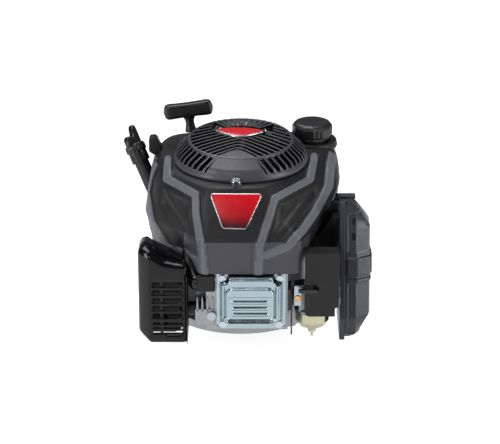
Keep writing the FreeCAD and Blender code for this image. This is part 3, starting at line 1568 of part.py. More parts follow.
def filter_front(grow, inner_x):
    return [
        (inner_x, filter_bottom_z + grow), (filter_outer_x - filter_low_bevel, filter_bottom_z + grow),
        (filter_outer_x - grow, filter_bottom_z + 32.0), (filter_outer_x - grow, filter_top_z - 32.0),
        (filter_outer_x - filter_high_bevel, filter_top_z - 5.0 - grow), (inner_x, filter_top_z - grow),
    ]


def duct_outline():
    return [(duct_left, duct_bottom), (filter_face_x + 1.0, duct_bottom), (filter_face_x + 1.0, duct_top),
            (filter_face_x - 10.0, duct_top), (duct_left, duct_top - 34.0)]


def air_filter_base():
    plate = prism_x(filter_side(0.0), filter_face_x, filter_face_x + filter_plate_thickness)
    duct = prism_y(duct_outline(), duct_front_y, duct_rear_y)
    body = plate.fuse(duct)
    wall = filter_skin
    room = prism_y(inset(duct_outline(), wall), duct_front_y + wall, duct_rear_y - wall)
    mouth = box(filter_face_x - 6.0, filter_face_x + filter_plate_thickness + 1.0, duct_front_y + wall,
                duct_rear_y - wall, duct_bottom + wall, duct_top - wall)
    tools = [room, mouth]
    tools.append(rod_x_dir(throat_radius, filter_face_x - 1.0, filter_face_x + 20.0, throat_y, throat_z))
    tools.append(rod_x_dir(3.0, filter_face_x - 1.0, filter_face_x + 20.0, -86.0, 96.0))
    return take(body, tools)


def air_filter_cover():
    inner_x = filter_face_x + filter_plate_thickness
    block = prism_x(filter_side(0.0), inner_x, filter_outer_x)
    block = block.common(prism_y(filter_front(0.0, inner_x), -160.0, 0.0))
    room = prism_x(filter_side(filter_skin), inner_x - 1.0, filter_outer_x)
    room = room.common(prism_y(filter_front(filter_skin, inner_x - 1.0), -160.0, 0.0))
    latch = box(inner_x + 6.0, filter_outer_x + 1.0, -142.0, -112.0, 94.0, 124.0)
    latch = latch.cut(box(inner_x, filter_outer_x - 1.0, -136.0, -100.0, 80.0, 140.0))
    body = block.cut(room).fuse(latch)
    slots = []
    for centre in (148.0, 172.0):
        slots.append(box(inner_x + 10.0, inner_x + 14.0, -140.0, -80.0, centre - 4.0, centre + 4.0))
    screw_hole = rod_x_dir(3.0, filter_outer_x - 6.0, filter_outer_x + 4.0, -86.0, 96.0)
    return take(body, slots + [screw_hole])


def air_filter_element():
    inner_x = filter_face_x + filter_plate_thickness
    outline = inset(filter_side(8.0), 0.0)
    block = prism_x(outline, inner_x + 0.5, inner_x + 20.0)
    return block.cut(rod_x_dir(5.0, inner_x - 1.0, inner_x + 40.0, -86.0, 96.0))


def carb_shield():
    front = box(shield_left, shield_right, shield_front_y, shield_front_y + shield_skin,
                shield_bottom, shield_top)
    top = box(shield_left, shield_right, shield_front_y, -128.0, shield_top - shield_skin, shield_top)
    side = box(shield_right - shield_skin, shield_right, shield_front_y, -104.0, shield_bottom + 44.0, shield_top)
    body = join([front, top, side])
    notch = box(shield_left - 1.0, choke_x + 3.0, shield_front_y - 1.0, shield_front_y + 3.0,
                carb_top - 2.0, carb_top + 9.0)
    return body.cut(notch)


# ---------------------------------------------------------------------------
# Exhaust side
# ---------------------------------------------------------------------------
def muffler():
    block = box(muffler_left, muffler_right, muffler_front_y, muffler_rear_y, muffler_bottom, muffler_top)
    block = block.makeFillet(14.0, [edge for edge in block.Edges if is_along(edge, V(0, 1, 0))])
    port_y = head_back_y - chamber_depth - 8.5
    pipe = rod_x_dir(exhaust_pipe_radius, muffler_right - 1.0, head_left, port_y, exhaust_z)
    flange = box(head_left - 5.0, head_left, port_y - 9.0, port_y + 12.0, exhaust_z - 20.0, exhaust_z + 13.0)
    outlet = rod_between(8.0, V(-112.0, muffler_front_y + 8.0, 34.0), V(-112.0, muffler_front_y - 5.0, 34.0))
    room = box(muffler_left + muffler_skin, muffler_right - muffler_skin, muffler_front_y + muffler_skin,
               muffler_rear_y - muffler_skin, muffler_bottom + muffler_skin, muffler_top - muffler_skin)
    room = room.makeFillet(12.5, [edge for edge in room.Edges if is_along(edge, V(0, 1, 0))])
    body = join([block, pipe, flange, outlet])
    tools = [room, rod_x_dir(port_radius, muffler_right - 4.0, head_left + 1.0, port_y, exhaust_z)]
    tools.append(rod_between(6.5, V(-112.0, muffler_front_y + 9.0, 34.0), V(-112.0, muffler_front_y - 6.0, 34.0)))
    return take(body, tools)


def guard_plan(distance, right):
    return [
        (right, guard_front_y + distance), (guard_fold + distance * 0.4, guard_front_y + distance),
        (guard_left + distance, guard_fold_y + distance * 0.4), (guard_left + distance, guard_rear_y),
        (right, guard_rear_y),
    ]


def muffler_guard():
    outer = prism(guard_plan(0.0, guard_right), guard_bottom, guard_front_top)
    inner = prism(guard_plan(guard_skin, guard_right + 1.0), guard_bottom + guard_skin, guard_front_top - guard_skin)
    body = outer.cut(inner)
    slope = prism_x([(-160.0, guard_front_top + 0.1), (guard_front_y, guard_front_top - 6.0),
                     (-128.0, guard_front_top + 0.1)], guard_left - 1.0, guard_right + 1.0)
    trim = prism_x([(guard_top_rear_y, 160.0), (guard_top_rear_y, 112.0), (guard_top_rear_y + 14.0, 101.0),
                    (0.0, 101.0), (0.0, 160.0)], guard_left - 1.0, guard_right + 2.0)
    rear = box(guard_left - 1.0, guard_right + 2.0, guard_rear_y - 0.5, guard_rear_y + 2.0, 0.0, 200.0)
    tools = [slope, trim, rear, rod_z(flange_radius + 2.0, -1.0, flange_thickness + 2.0)]
    tools.append(housing_envelope(-guard_gap, deck_top, skirt_z))
    for row in range(guard_slot_rows):
        low = 18.0 + row * guard_slot_pitch
        for left, right in ((-127.0, -116.0), (-112.0, -84.0)):
            tools.append(box(left, right, guard_front_y - 1.0, guard_front_y + 4.0, low, low + guard_slot_height))
    body = take(body, tools)
    return body


# ---------------------------------------------------------------------------
# Brackets and small controls
# ---------------------------------------------------------------------------
def control_bracket():
    face = box(bracket_left, bracket_right, bracket_y, bracket_y + bracket_skin, bracket_bottom, bracket_top)
    foot = box(86.0, bracket_right, bracket_y - 4.0, bracket_y + bracket_skin, bracket_bottom - 4.5,
               bracket_bottom)
    lip = box(bracket_left, bracket_right, bracket_y - 12.0, bracket_y + bracket_skin,
              bracket_top - bracket_skin, bracket_top)
    pin = rod_y_dir(3.0, bracket_y - 8.0, bracket_y + 1.0, 150.0, 140.0)
    return join([face, foot, lip, pin])


def control_lever():
    hub = rod_y_dir(7.0, bracket_y - 6.0, bracket_y - 3.0, 150.0, 140.0)
    arm = box(147.0, 153.0, bracket_y - 6.0, bracket_y - 3.0, 116.0, 140.0)
    body = hub.fuse(arm)
    return body.cut(rod_y_dir(3.0 + running_gap, bracket_y - 10.0, bracket_y, 150.0, 140.0))


def governor_vane():
    pivot_x, pivot_y = 66.0, 62.0
    hub = rod_z(5.0, case_top + 4.6, case_top + 12.0, pivot_x, pivot_y)
    blade = box(pivot_x - 1.0, pivot_x + 1.0, pivot_y - 4.0, pivot_y + 26.0, case_top + 5.0, case_top + 12.0)
    arm = prism([(pivot_x - 4.0, pivot_y), (pivot_x + 4.0, pivot_y), (pivot_x + 22.0, pivot_y - 60.0),
                 (pivot_x + 16.0, pivot_y - 60.0)], case_top + 4.6, case_top + 6.6)
    body = join([hub, blade, arm])
    return body.cut(rod_z(3.0 + running_gap, case_top, case_top + 20.0, pivot_x, pivot_y))


def governor_post():
    return join([box(40.0, 72.0, 26.0, 68.0, case_top - 4.0, case_top + 4.0),
                 rod_z(3.0, case_top + 3.0, case_top + 14.0, 66.0, 62.0)])


nodes = {
    "mounting_flange": mounting_flange,
    "drain_plug": drain_plug,
    "gaskets": lambda: Part.makeCompound([sump_gasket(), head_gasket()]),
    "crankcase": crankcase,
    "case_bolts": case_bolts,
    "oil_seals": oil_seals,
    "crankshaft": crankshaft,
    "connecting_rod": connecting_rod,
    "rod_cap": rod_cap,
    "piston": piston,
    "piston_rings": piston_rings,
    "piston_pin": piston_pin,
    "camshaft": camshaft,
    "governor_vane": governor_vane,
    "cylinder_head": cylinder_head,
    "exhaust_tappet": lambda: tappet_and_pushrod(exhaust_z),
    "exhaust_rocker": lambda: rocker(exhaust_z),
    "exhaust_valve": lambda: valve(exhaust_z),
    "intake_tappet": lambda: tappet_and_pushrod(intake_z),
    "intake_rocker": lambda: rocker(intake_z),
    "intake_valve": lambda: valve(intake_z),
    "valve_springs": valve_springs,
    "valve_cover": valve_cover,
    "flange_screws": flange_screws,
    "spark_plug": spark_plug,
    "plug_boot": plug_boot,
    "ignition_lead": ignition_lead,
    "ignition_coil": ignition_coil,
    "flywheel": flywheel,
    "flywheel_nut": flywheel_nut,
    "starter_cup": starter_cup,
    "starter_reel": starter_reel,
    "starter_pawl": starter_pawl,
    "rewind_spring": rewind_spring,
    "starter_rope": starter_rope,
    "starter_handle": starter_handle,
    "blower_housing": blower_housing,
    "fan_grille": fan_grille,
    "top_badge": top_badge,
    "front_plate": front_plate,
    "fuel_tank": fuel_tank,
    "fuel_cap": fuel_cap,
    "fuel_cap_gasket": fuel_cap_gasket,
    "fuel_hose": fuel_hose,
    "oil_filler_tube": oil_filler_tube,
    "dipstick": dipstick,
    "dipstick_seal": dipstick_seal,
    "intake_flange": intake_flange,
    "carburettor_body": carburettor_body,
    "float_bowl": float_bowl,
    "throttle_lever": throttle_lever,
    "choke_lever": choke_lever,
    "air_filter_base": air_filter_base,
    "air_filter_cover": air_filter_cover,
    "air_filter_element": air_filter_element,
    "carb_shield": carb_shield,
    "muffler": muffler,
    "muffler_guard": muffler_guard,
    "control_bracket": control_bracket,
    "control_lever": control_lever,
}


def main():
    os.makedirs("parts", exist_ok=True)
    for name, build in nodes.items():
        shape = build()
        solids = shape.Solids
        print("%-18s solids %d valid %s volume %.0f" % (name, len(solids), shape.isValid(), shape.Volume))
        shape.exportStep("parts/%s.step" % name)


main()
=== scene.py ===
import json
import math

import bmesh
import bpy
from bpy.props import FloatProperty, FloatVectorProperty, PointerProperty
from mathutils import Matrix, Vector
from mathutils.bvhtree import BVHTree


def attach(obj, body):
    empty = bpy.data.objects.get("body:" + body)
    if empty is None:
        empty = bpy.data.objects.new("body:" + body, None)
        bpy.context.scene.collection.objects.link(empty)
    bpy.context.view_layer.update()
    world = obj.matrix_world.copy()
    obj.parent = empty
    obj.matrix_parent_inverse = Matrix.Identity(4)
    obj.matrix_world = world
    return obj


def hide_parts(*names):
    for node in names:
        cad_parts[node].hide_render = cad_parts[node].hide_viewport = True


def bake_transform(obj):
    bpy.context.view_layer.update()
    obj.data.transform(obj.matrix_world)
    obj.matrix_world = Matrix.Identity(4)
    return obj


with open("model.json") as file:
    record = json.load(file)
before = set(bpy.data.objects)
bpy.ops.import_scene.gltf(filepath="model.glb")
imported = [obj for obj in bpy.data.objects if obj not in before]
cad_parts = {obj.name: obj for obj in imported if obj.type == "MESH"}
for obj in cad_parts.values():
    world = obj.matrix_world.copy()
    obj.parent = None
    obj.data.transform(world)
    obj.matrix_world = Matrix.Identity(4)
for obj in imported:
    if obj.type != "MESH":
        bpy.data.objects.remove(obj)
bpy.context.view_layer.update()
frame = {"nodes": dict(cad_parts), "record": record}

bl_info = {
    "name": "Small Engine Finish",
    "version": (1, 0, 0),
    "blender": (4, 5, 0),
    "location": "View3D > Sidebar > Engine",
    "description": "Builds the visible surfaces, materials and stage of a small gasoline engine",
    "category": "Object",
}

MM = 0.001
SURFACE_IOR = 1.5
COAT_ROUGHNESS = 0.1

# View the styling lines are drawn in: a long lens in front of the engine, 22 degrees up.
EYE_TARGET = Vector((13.5, 0.0, 131.0))
EYE_RISE = math.radians(22.0)
EYE_DISTANCE = 3000.0
EYE_AXIS = Vector((0.0, -math.cos(EYE_RISE), math.sin(EYE_RISE)))
EYE = EYE_TARGET + EYE_AXIS * EYE_DISTANCE


# ---------------------------------------------------------------- colour and node helpers
def linear(code):
    """sRGB hex code to linear colour."""
    out = []
    for start in (0, 2, 4):
        value = int(code[start:start + 2], 16) / 255.0
        out.append(value / 12.92 if value <= 0.04045 else ((value + 0.055) / 1.055) ** 2.4)
    return tuple(out) + (1.0,)


def add_node(tree, kind, inputs=None, **settings):
    """Adds a node, sets its properties and fills or links its inputs."""
    node = tree.nodes.new(kind)
    for key, value in settings.items():
        setattr(node, key, value)
    for key, value in (inputs or {}).items():
        if isinstance(value, bpy.types.NodeSocket):
            tree.links.new(value, node.inputs[key])
        else:
            node.inputs[key].default_value = value
    return node


def surface(name, colour, rough, metal=0.0, coat=0.0, specular=0.5, grain=None, wave=None,
            mottle=0.0, mottle_size=20.0, spread=0.08):
    """Makes a material: base colour with mottling, uneven roughness and a bump.

    grain is (size in mm, strength), wave is (spacing in mm, strength)."""
    material = bpy.data.materials.new(name)
    material.use_nodes = True
    tree = material.node_tree
    tree.nodes.clear()
    place = add_node(tree, "ShaderNodeTexCoord")
    blotch = add_node(tree, "ShaderNodeTexNoise", {
        "Vector": place.outputs["Object"], "Scale": 1000.0 / mottle_size, "Detail": 4.0, "Roughness": 0.6})
    base = tuple(colour)
    dark = tuple(channel * (1.0 - mottle) for channel in base[:3]) + (1.0,)
    light = tuple(min(1.0, channel * (1.0 + mottle)) for channel in base[:3]) + (1.0,)
    tint = add_node(tree, "ShaderNodeMix", {"Factor": blotch.outputs["Fac"]}, data_type="RGBA")
    tint.inputs[6].default_value = dark
    tint.inputs[7].default_value = light
    polish = add_node(tree, "ShaderNodeMapRange", {
        "Value": blotch.outputs["Fac"], "From Min": 0.3, "From Max": 0.7,
        "To Min": max(0.02, rough - spread), "To Max": min(1.0, rough + spread)})
    shader = add_node(tree, "ShaderNodeBsdfPrincipled", {
        "Base Color": tint.outputs[2], "Metallic": metal, "Roughness": polish.outputs[0],
        "IOR": SURFACE_IOR, "Specular IOR Level": specular, "Coat Weight": coat,
        "Coat Roughness": COAT_ROUGHNESS})
    normal = None
    if grain:
        fine = add_node(tree, "ShaderNodeTexNoise", {
            "Vector": place.outputs["Object"], "Scale": 1000.0 / grain[0], "Detail": 3.0})
        normal = add_node(tree, "ShaderNodeBump", {
            "Height": fine.outputs["Fac"], "Strength": grain[1], "Distance": 0.0002})
    if wave:
        lines = add_node(tree, "ShaderNodeTexWave", {
            "Vector": place.outputs["Object"], "Scale": 50.0 / wave[0], "Distortion": 0.6})
        second = add_node(tree, "ShaderNodeBump", {
            "Height": lines.outputs["Fac"], "Strength": wave[1], "Distance": 0.0003})
        if normal:
            tree.links.new(normal.outputs[0], second.inputs["Normal"])
        normal = second
    if normal:
        tree.links.new(normal.outputs[0], shader.inputs["Normal"])
    out = add_node(tree, "ShaderNodeOutputMaterial")
    tree.links.new(shader.outputs[0], out.inputs["Surface"])
    return material


def make_materials(finishes):
    """Every finish on the engine, keyed by the record's slot name."""
    made = {}
    # spark-grained polypropylene: dull, with a fine sparkle where it turns to the light
    made["grained_plastic"] = surface("polypropylene, spark-grained", finishes.shroud_colour, 0.48,
                                      grain=(0.7, 0.5), mottle=0.10, specular=0.22)
    # coarser and stronger grain than the panels; the paler colour is a painted highlight where the light
    # catches the ribs
    made["ridge_plastic"] = surface("polypropylene, ribs with painted highlight", finishes.rib_highlight_colour, 0.50,
                                    grain=(1.1, 1.0), mottle=0.10, specular=0.40)
    # the ribs' grain with a small mottle; the paler colour is a painted reflection of the pale floor on the
    # upright front
    made["nose_plastic"] = surface("polypropylene, coarse grain", finishes.nose_reflection_colour, 0.48,
                                   grain=(1.1, 1.0), mottle=0.12, mottle_size=6.0, specular=0.40)
    # moulded fan cover, slightly smoother than the shroud
    made["grille_plastic"] = surface("nylon, moulded", linear("141416"), 0.40, grain=(0.6, 0.35), mottle=0.06,
                                     specular=0.4)
    # the same nylon painted paler: a painted highlight for the faces that the lamps reach
    made["grille_rib"] = surface("nylon, moulded, lit faces", finishes.fan_cover_lit_colour, 0.42,
                                 grain=(0.6, 0.4), mottle=0.06, specular=0.4)
    # warm small highlight of a turned screw
    made["brass"] = surface("brass, turned", linear("c8924f"), 0.3, metal=1.0)
    # soft-touch grip: very dark and even
    made["handle_plastic"] = surface("nylon, fine grain", linear("0e0d0f"), 0.28, grain=(0.8, 0.5),
                                     mottle=0.10, specular=0.3)
    # waxy and near black, with soft highlights along the grips
    made["cap_plastic"] = surface("polyethylene, fine grain", linear("131316"), 0.34, grain=(0.6, 0.3),
                                  mottle=0.05, specular=0.35)
    # a cooler black than the shroud, smooth enough for one broad highlight
    made["filter_plastic"] = surface("polypropylene, blue-grey", finishes.filter_colour, 0.36,
                                     grain=(0.7, 0.4), mottle=0.05, specular=0.3)
    # plain black moulding that stays in the background
    made["black_plastic"] = surface("polyethylene, black", linear("08080a"), 0.40, grain=(0.8, 0.3),
                                    mottle=0.08, specular=0.25)
    # high-gloss stove enamel: mirror-like streaks of the lamps
    made["gloss_black"] = surface("steel, gloss black enamel", finishes.enamel_colour, 0.16, mottle=0.04,
                                  spread=0.03, specular=0.22)
    # powder coat: soft highlight with a slight texture
    made["satin_black"] = surface("steel, satin powder coat", linear("0b0b0d"), 0.40, grain=(0.9, 0.25),
                                  mottle=0.08, specular=0.25)
    # blackened steel with a faint metallic edge
    made["dark_lever"] = surface("steel, black oxide", linear("1a1a1d"), 0.30, metal=0.4)
    # blue passivated zinc: cold, slightly cloudy metal
    made["zinc_cover"] = surface("steel, blue zinc plated", finishes.zinc_colour, 0.2, metal=1.0, mottle=0.05,
                                 mottle_size=12.0, grain=(1.2, 0.06))
    # plain zinc, a greyer metal than the valve cover
    made["zinc_plate"] = surface("steel, zinc plated", linear("8f9aa1"), 0.26, metal=1.0, mottle=0.06,
                                 grain=(1.0, 0.08))
    # small sharp highlights on the screw heads
    made["bright_screw"] = surface("steel, bright zinc", linear("a0a9af"), 0.18, metal=1.0, mottle=0.04)
    # yellowish, uneven sheen of passivated steel
    made["passivated_bowl"] = surface("steel, yellow passivated", linear("a09d86"), 0.22, metal=1.0,
                                      mottle=0.10, mottle_size=8.0)
    # grey die casting, metallic but matt
    made["carburettor_zinc"] = surface("zinc, die cast", linear("74797b"), 0.45, metal=0.9,
                                       grain=(1.5, 0.4), mottle=0.08)
    # blasted casting: bright but diffuse
    made["cast_aluminium"] = surface("aluminium, as cast", finishes.casting_colour, 0.42, metal=0.85,
                                     grain=(1.6, 0.6), mottle=0.07)
    # fine turning lines that stretch the highlights
    made["machined_aluminium"] = surface("aluminium, turned", linear("a7a8ab"), 0.28, metal=1.0,
                                         wave=(0.8, 0.2))
    # grinding lines, closer and fainter than the turned aluminium's
    made["ground_steel"] = surface("steel, ground", linear("a5a7aa"), 0.24, metal=1.0, wave=(0.5, 0.12))
    # dark, even metal of a hardened wire
    made["spring_steel"] = surface("steel, oil tempered", linear("4a4a4c"), 0.30, metal=1.0)
    # near-black base: painted shade, so the muffler reads dark through the guard's slots; the dark blotches
    # stand for where the exhaust has tinted the sheet
    made["heat_steel"] = surface("steel, aluminised, heat tinted", linear("1d1b1a"), 0.45, metal=0.7,
                                 mottle=0.25)
    # brown-black and dull, a heat barrier
    made["phenolic"] = surface("phenolic, moulded", linear("221c19"), 0.5, mottle=0.15)
    # fibrous grey, dull all over
    made["gasket_sheet"] = surface("fibre sheet, pressed", linear("474a44"), 0.8, mottle=0.2, mottle_size=3.0)
    # deep black with a broad soft highlight
    made["black_rubber"] = surface("rubber, moulded", linear("070708"), 0.30, grain=(1.5, 0.12),
                                   mottle=0.08, specular=0.3)
    # white glaze under a clear, sharp highlight
    made["plug_ceramic"] = surface("ceramic, glazed", linear("e4e1d8"), 0.12, coat=0.5)
    # black resin, half matt
    made["coil_epoxy"] = surface("epoxy, potted", linear("16161a"), 0.4, mottle=0.1)
    # coarse, dry weave with no shine
    made["rope_braid"] = surface("nylon, braided", linear("1c1c1d"), 0.75, grain=(1.2, 1.0), mottle=0.3,
                                 mottle_size=2.0)
    # smooth film: an even red with a soft highlight
    made["badge_red"] = surface("film, red printed", finishes.badge_colour, 0.22, specular=0.3)
    # the label's film fades to black towards its foot
    made["plate_red"] = label_material()
    # silver border that catches the lamps
    made["badge_silver"] = surface("film, silver printed", linear("9ea2a6"), 0.25, metal=0.8)
    # tan paper whose pleats show as close parallel ridges
    made["filter_foam"] = surface("paper, pleated", linear("a8935a"), 0.85, wave=(3.0, 0.8))
    return made


def label_material():
    """Printed film that fades from red to near black towards its foot, with a glossy face."""
    material = surface("film, red fading to black", linear("b0141a"), 0.20, specular=0.3)
    tree = material.node_tree
    shader = next(node for node in tree.nodes if node.type == "BSDF_PRINCIPLED")
    place = add_node(tree, "ShaderNodeTexCoord")
    split = add_node(tree, "ShaderNodeSeparateXYZ", {0: place.outputs["Object"]})
    fade = add_node(tree, "ShaderNodeValToRGB", {"Fac": add_node(tree, "ShaderNodeMapRange", {
        "Value": split.outputs["Z"], "From Min": 0.172, "From Max": 0.217}).outputs[0]})
    ramp = fade.color_ramp
    ramp.elements[0].color = linear("120c0e")
    ramp.elements[1].color = linear("a80f19")
    middle = ramp.elements.new(0.22)
    middle.color = linear("380d10")
    upper = ramp.elements.new(0.5)
    upper.color = linear("8a0f16")
    tree.links.new(fade.outputs["Color"], shader.inputs["Base Color"])
    return material


MATERIALS = {}


# ---------------------------------------------------------------- mesh helpers
def new_piece(name, verts, faces, slot, body="engine", replaced=(), smooth=True, sharp=None):
    """Makes an object from points in mm, gives it a finish and lets it ride its body."""
    mesh = bpy.data.meshes.new(name)
    mesh.from_pydata([tuple(c * MM for c in v) for v in verts], [], faces)
    mesh.validate()
    work = bmesh.new()
    work.from_mesh(mesh)
    bmesh.ops.recalc_face_normals(work, faces=work.faces)
    work.to_mesh(mesh)
    work.free()
    piece = bpy.data.objects.new(name, mesh)
    bpy.context.collection.objects.link(piece)
    mesh.materials.append(MATERIALS[slot])
    for polygon in mesh.polygons:
        polygon.use_smooth = smooth
    if sharp is not None:
        mesh.set_sharp_from_angle(angle=math.radians(sharp))
    if body:
        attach(piece, body)
    if replaced:
        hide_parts(*replaced)
    return piece


def bevel(piece, width, segments=3, angle=35.0):
    """Rounds the piece's sharp edges, width in mm."""
    modifier = piece.modifiers.new("rounded edges", "BEVEL")
    modifier.width = width * MM
    modifier.segments = segments
    modifier.limit_method = "ANGLE"
    modifier.angle_limit = math.radians(angle)
    modifier.harden_normals = True
    return modifier


def thicken(piece, depth, offset=-1.0):
    """Gives a sheet its wall, depth in mm."""
    modifier = piece.modifiers.new("wall", "SOLIDIFY")
    modifier.thickness = depth * MM
    modifier.offset = offset
    return modifier


def subdivide(piece, levels):
    modifier = piece.modifiers.new("smooth skin", "SUBSURF")
    modifier.levels = levels
    modifier.render_levels = levels
    return modifier


def grid_faces(columns, rows, wrap=False):
    """Faces of a grid of points stored row by row."""
    faces = []
    last = columns if wrap else columns - 1
    for row in range(rows - 1):
        for column in range(last):
            ahead = (column + 1) % columns
            faces.append((row * columns + column, row * columns + ahead,
                          (row + 1) * columns + ahead, (row + 1) * columns + column))
    return faces


def lathe(profile, steps, x=0.0, y=0.0, wobble=None):
    """Points and faces of a profile of (radius, z) turned about a vertical line."""
    verts = []
    for radius, z in profile:
        for step in range(steps):
            angle = math.tau * step / steps
            r = radius + (wobble(angle, radius, z) if wobble else 0.0)
            verts.append((x + r * math.cos(angle), y + r * math.sin(angle), z))
    return verts, grid_faces(steps, len(profile), wrap=True)


def tube(points, radii, steps=20):
    """A round tube through points in mm, with a radius at each."""
    verts = []
    line = [Vector(p) for p in points]
    side = None
    for index, point in enumerate(line):
        before = line[max(0, index - 1)]
        after = line[min(len(line) - 1, index + 1)]
        along = (after - before).normalized()
        if side is None:
            side = along.orthogonal().normalized()
        side = (side - along * side.dot(along)).normalized()
        other = along.cross(side)
        for step in range(steps):
            angle = math.tau * step / steps
            verts.append(tuple(point + (side * math.cos(angle) + other * math.sin(angle)) * radii[index]))
    faces = grid_faces(steps, len(line), wrap=True)
    faces.append(tuple(reversed(range(steps))))
    faces.append(tuple(range(len(verts) - steps, len(verts))))
    return verts, faces


def merge(parts):
    """Joins several (points, faces) lists."""
    verts = []
    faces = []
    for part_verts, part_faces in parts:
        shift = len(verts)
        verts += part_verts
        faces += [tuple(index + shift for index in face) for face in part_faces]
    return verts, faces


def block(x0, x1, y0, y1, z0, z1):
    """The eight corners and six faces of a box in mm."""
    verts = [(x, y, z) for z in (z0, z1) for y in (y0, y1) for x in (x0, x1)]
    faces = [(0, 2, 3, 1), (4, 5, 7, 6), (0, 1, 5, 4), (2, 6, 7, 3), (0, 4, 6, 2), (1, 3, 7, 5)]
    return verts, faces


def plate(outline, near, far):
    """An outline of (x, z) made into a plate that runs from y near to y far, in mm."""
    verts = [(x, y, z) for y in (near, far) for x, z in outline]
    count = len(outline)
    faces = [tuple(range(count)), tuple(reversed(range(count, 2 * count)))]
    faces += [(i, (i + 1) % count, count + (i + 1) % count, count + i) for i in range(count)]
    return verts, faces


def rounded_rect(x, z, centre_x, centre_z, half_x, half_z, corner):
    """Signed distance in mm from a rounded rectangle, negative inside."""
    dx = abs(x - centre_x) - half_x + corner
    dz = abs(z - centre_z) - half_z + corner
    outside = math.hypot(max(dx, 0.0), max(dz, 0.0))
    return outside + min(max(dx, dz), 0.0) - corner


def step_down(value, low, high):
    """1 below low, 0 above high, smooth between."""
    if value <= low:
        return 1.0
    if value >= high:
        return 0.0
    share = (value - low) / (high - low)
    return 1.0 - share * share * (3.0 - 2.0 * share)


def to_styling(point):
    """A point in mm as (across, up) in the styling view, measured at the crankshaft's distance."""
    offset = Vector(point) - EYE_TARGET
    forward = Vector((0.0, math.cos(EYE_RISE), -math.sin(EYE_RISE)))
    upward = Vector((0.0, math.sin(EYE_RISE), math.cos(EYE_RISE)))
    scale = EYE_DISTANCE / (EYE_DISTANCE + offset.dot(forward))
    return EYE_TARGET.x + offset.x * scale, 119.6 + offset.dot(upward) * scale


def from_styling(across, up):
    """The direction from the eye through a place in the styling view."""
    upward = Vector((0.0, math.sin(EYE_RISE), math.cos(EYE_RISE)))
    place = EYE_TARGET + Vector((1.0, 0.0, 0.0)) * (across - EYE_TARGET.x) + upward * (up - 119.6)
    return (place - EYE).normalized()


def line_distance(x, y, path):
    """Distance from (x, y) to a broken line."""
    best = 1e9
    for (ax, ay), (bx, by) in zip(path, path[1:]):
        length = (bx - ax) ** 2 + (by - ay) ** 2
        share = max(0.0, min(1.0, ((x - ax) * (bx - ax) + (y - ay) * (by - ay)) / length))
        best = min(best, math.hypot(x - ax - share * (bx - ax), y - ay - share * (by - ay)))
    return best


def inside_distance(x, y, corners):
    """Distance inside a closed outline, negative outside."""
    odd = False
    for (ax, ay), (bx, by) in zip(corners, corners[1:] + corners[:1]):
        if (ay > y) != (by > y) and x < (bx - ax) * (y - ay) / (by - ay) + ax:
            odd = not odd
    distance = line_distance(x, y, corners + corners[:1])
    return distance if odd else -distance


# ---------------------------------------------------------------- shroud
RIM_RADIUS = 90.0
SHROUD_COLUMNS = (
    ((-88, 130, 231), (-92, 140, 222), (-93, 143, 200), (-92, 144, 162), (-88, 140, 116)),
    ((-116, 104, 231), (-130, 108, 221), (-135, 110, 195), (-136, 110, 162), (-130, 106, 116)),
    ((-122, 30, 230), (-133, 30, 219), (-138, 30, 195), (-142, 30, 162), (-136, 30, 119)),
    ((-112, -28, 228), (-124, -34, 215), (-136, -38, 190), (-143, -42, 162), (-133, -58, 120)),
    ((-78, -76, 227), (-88, -84, 213), (-100, -88, 188), (-108, -90, 160), (-106, -90, 112)),
    ((-50, -104, 228), (-56, -111, 215), (-63, -120, 188), (-68, -128, 160), (-68, -116, 104)),
    ((-38, -110, 228), (-43, -117, 218), (-47, -133, 190), (-53, -151, 162), (-53, -154, 113)),
    ((-4, -111, 228), (-2, -118, 218), (8, -134, 190), (16, -152, 162), (16, -155, 112)),
    ((32, -109, 228), (40, -116, 218), (62, -132, 190), (86, -150, 162), (85, -154, 113)),
    ((56, -92, 228), (64, -98, 215), (80, -110, 190), (94, -122, 164), (92, -118, 136)),
    ((106, -26, 229), (118, -34, 216), (128, -50, 196), (134, -60, 182), (133, -62, 175)),
    ((124, 30, 231), (141, 20, 221), (148, 10, 213), (149, 0, 207), (148, 0, 203)),
    ((134, 100, 231), (147, 104, 224), (150, 104, 200), (151, 104, 162), (147, 104, 116)),
    ((104, 132, 231), (112, 142, 224), (114, 145, 200), (113, 146, 162), (110, 142, 116)),
)

# Ribs and panels, as lines in the styling view, in mm
LEFT_RIB = [(-109, 212), (-110, 184), (-67, 160), (-66.5, 132), (-58.5, 82), (-54, 38)]
RIGHT_RIB = [(109.5, 216), (103, 183), (50.5, 154.5), (43, 130), (27.5, 82), (26, 38)]
LEFT_EDGE = [(-131, 205), (-138, 183), (-141, 163), (-135, 122), (-113, 84), (-83, 71), (-66, 62), (-60, 44)]
RIGHT_EDGE = [(138, 232), (134, 206), (131, 173), (113, 137), (92, 107), (70, 83), (37, 70)]
LEFT_PANEL = [(-120, 171), (-78, 150), (-77.5, 132), (-69, 88), (-84, 88), (-124, 145)]
RIGHT_PANEL = [(112, 172), (62, 146), (55, 128), (42, 88), (60, 90), (120, 160)]
LEFT_FIN = [(-112, 164), (-92, 128), (-76, 98)]
RIGHT_FIN = [(106, 162), (80, 128), (52, 96)]
LABEL_CORNERS = [(-47.5, 162.5), (32.8, 162.0), (7.8, 108.5), (-28.0, 109.5)]


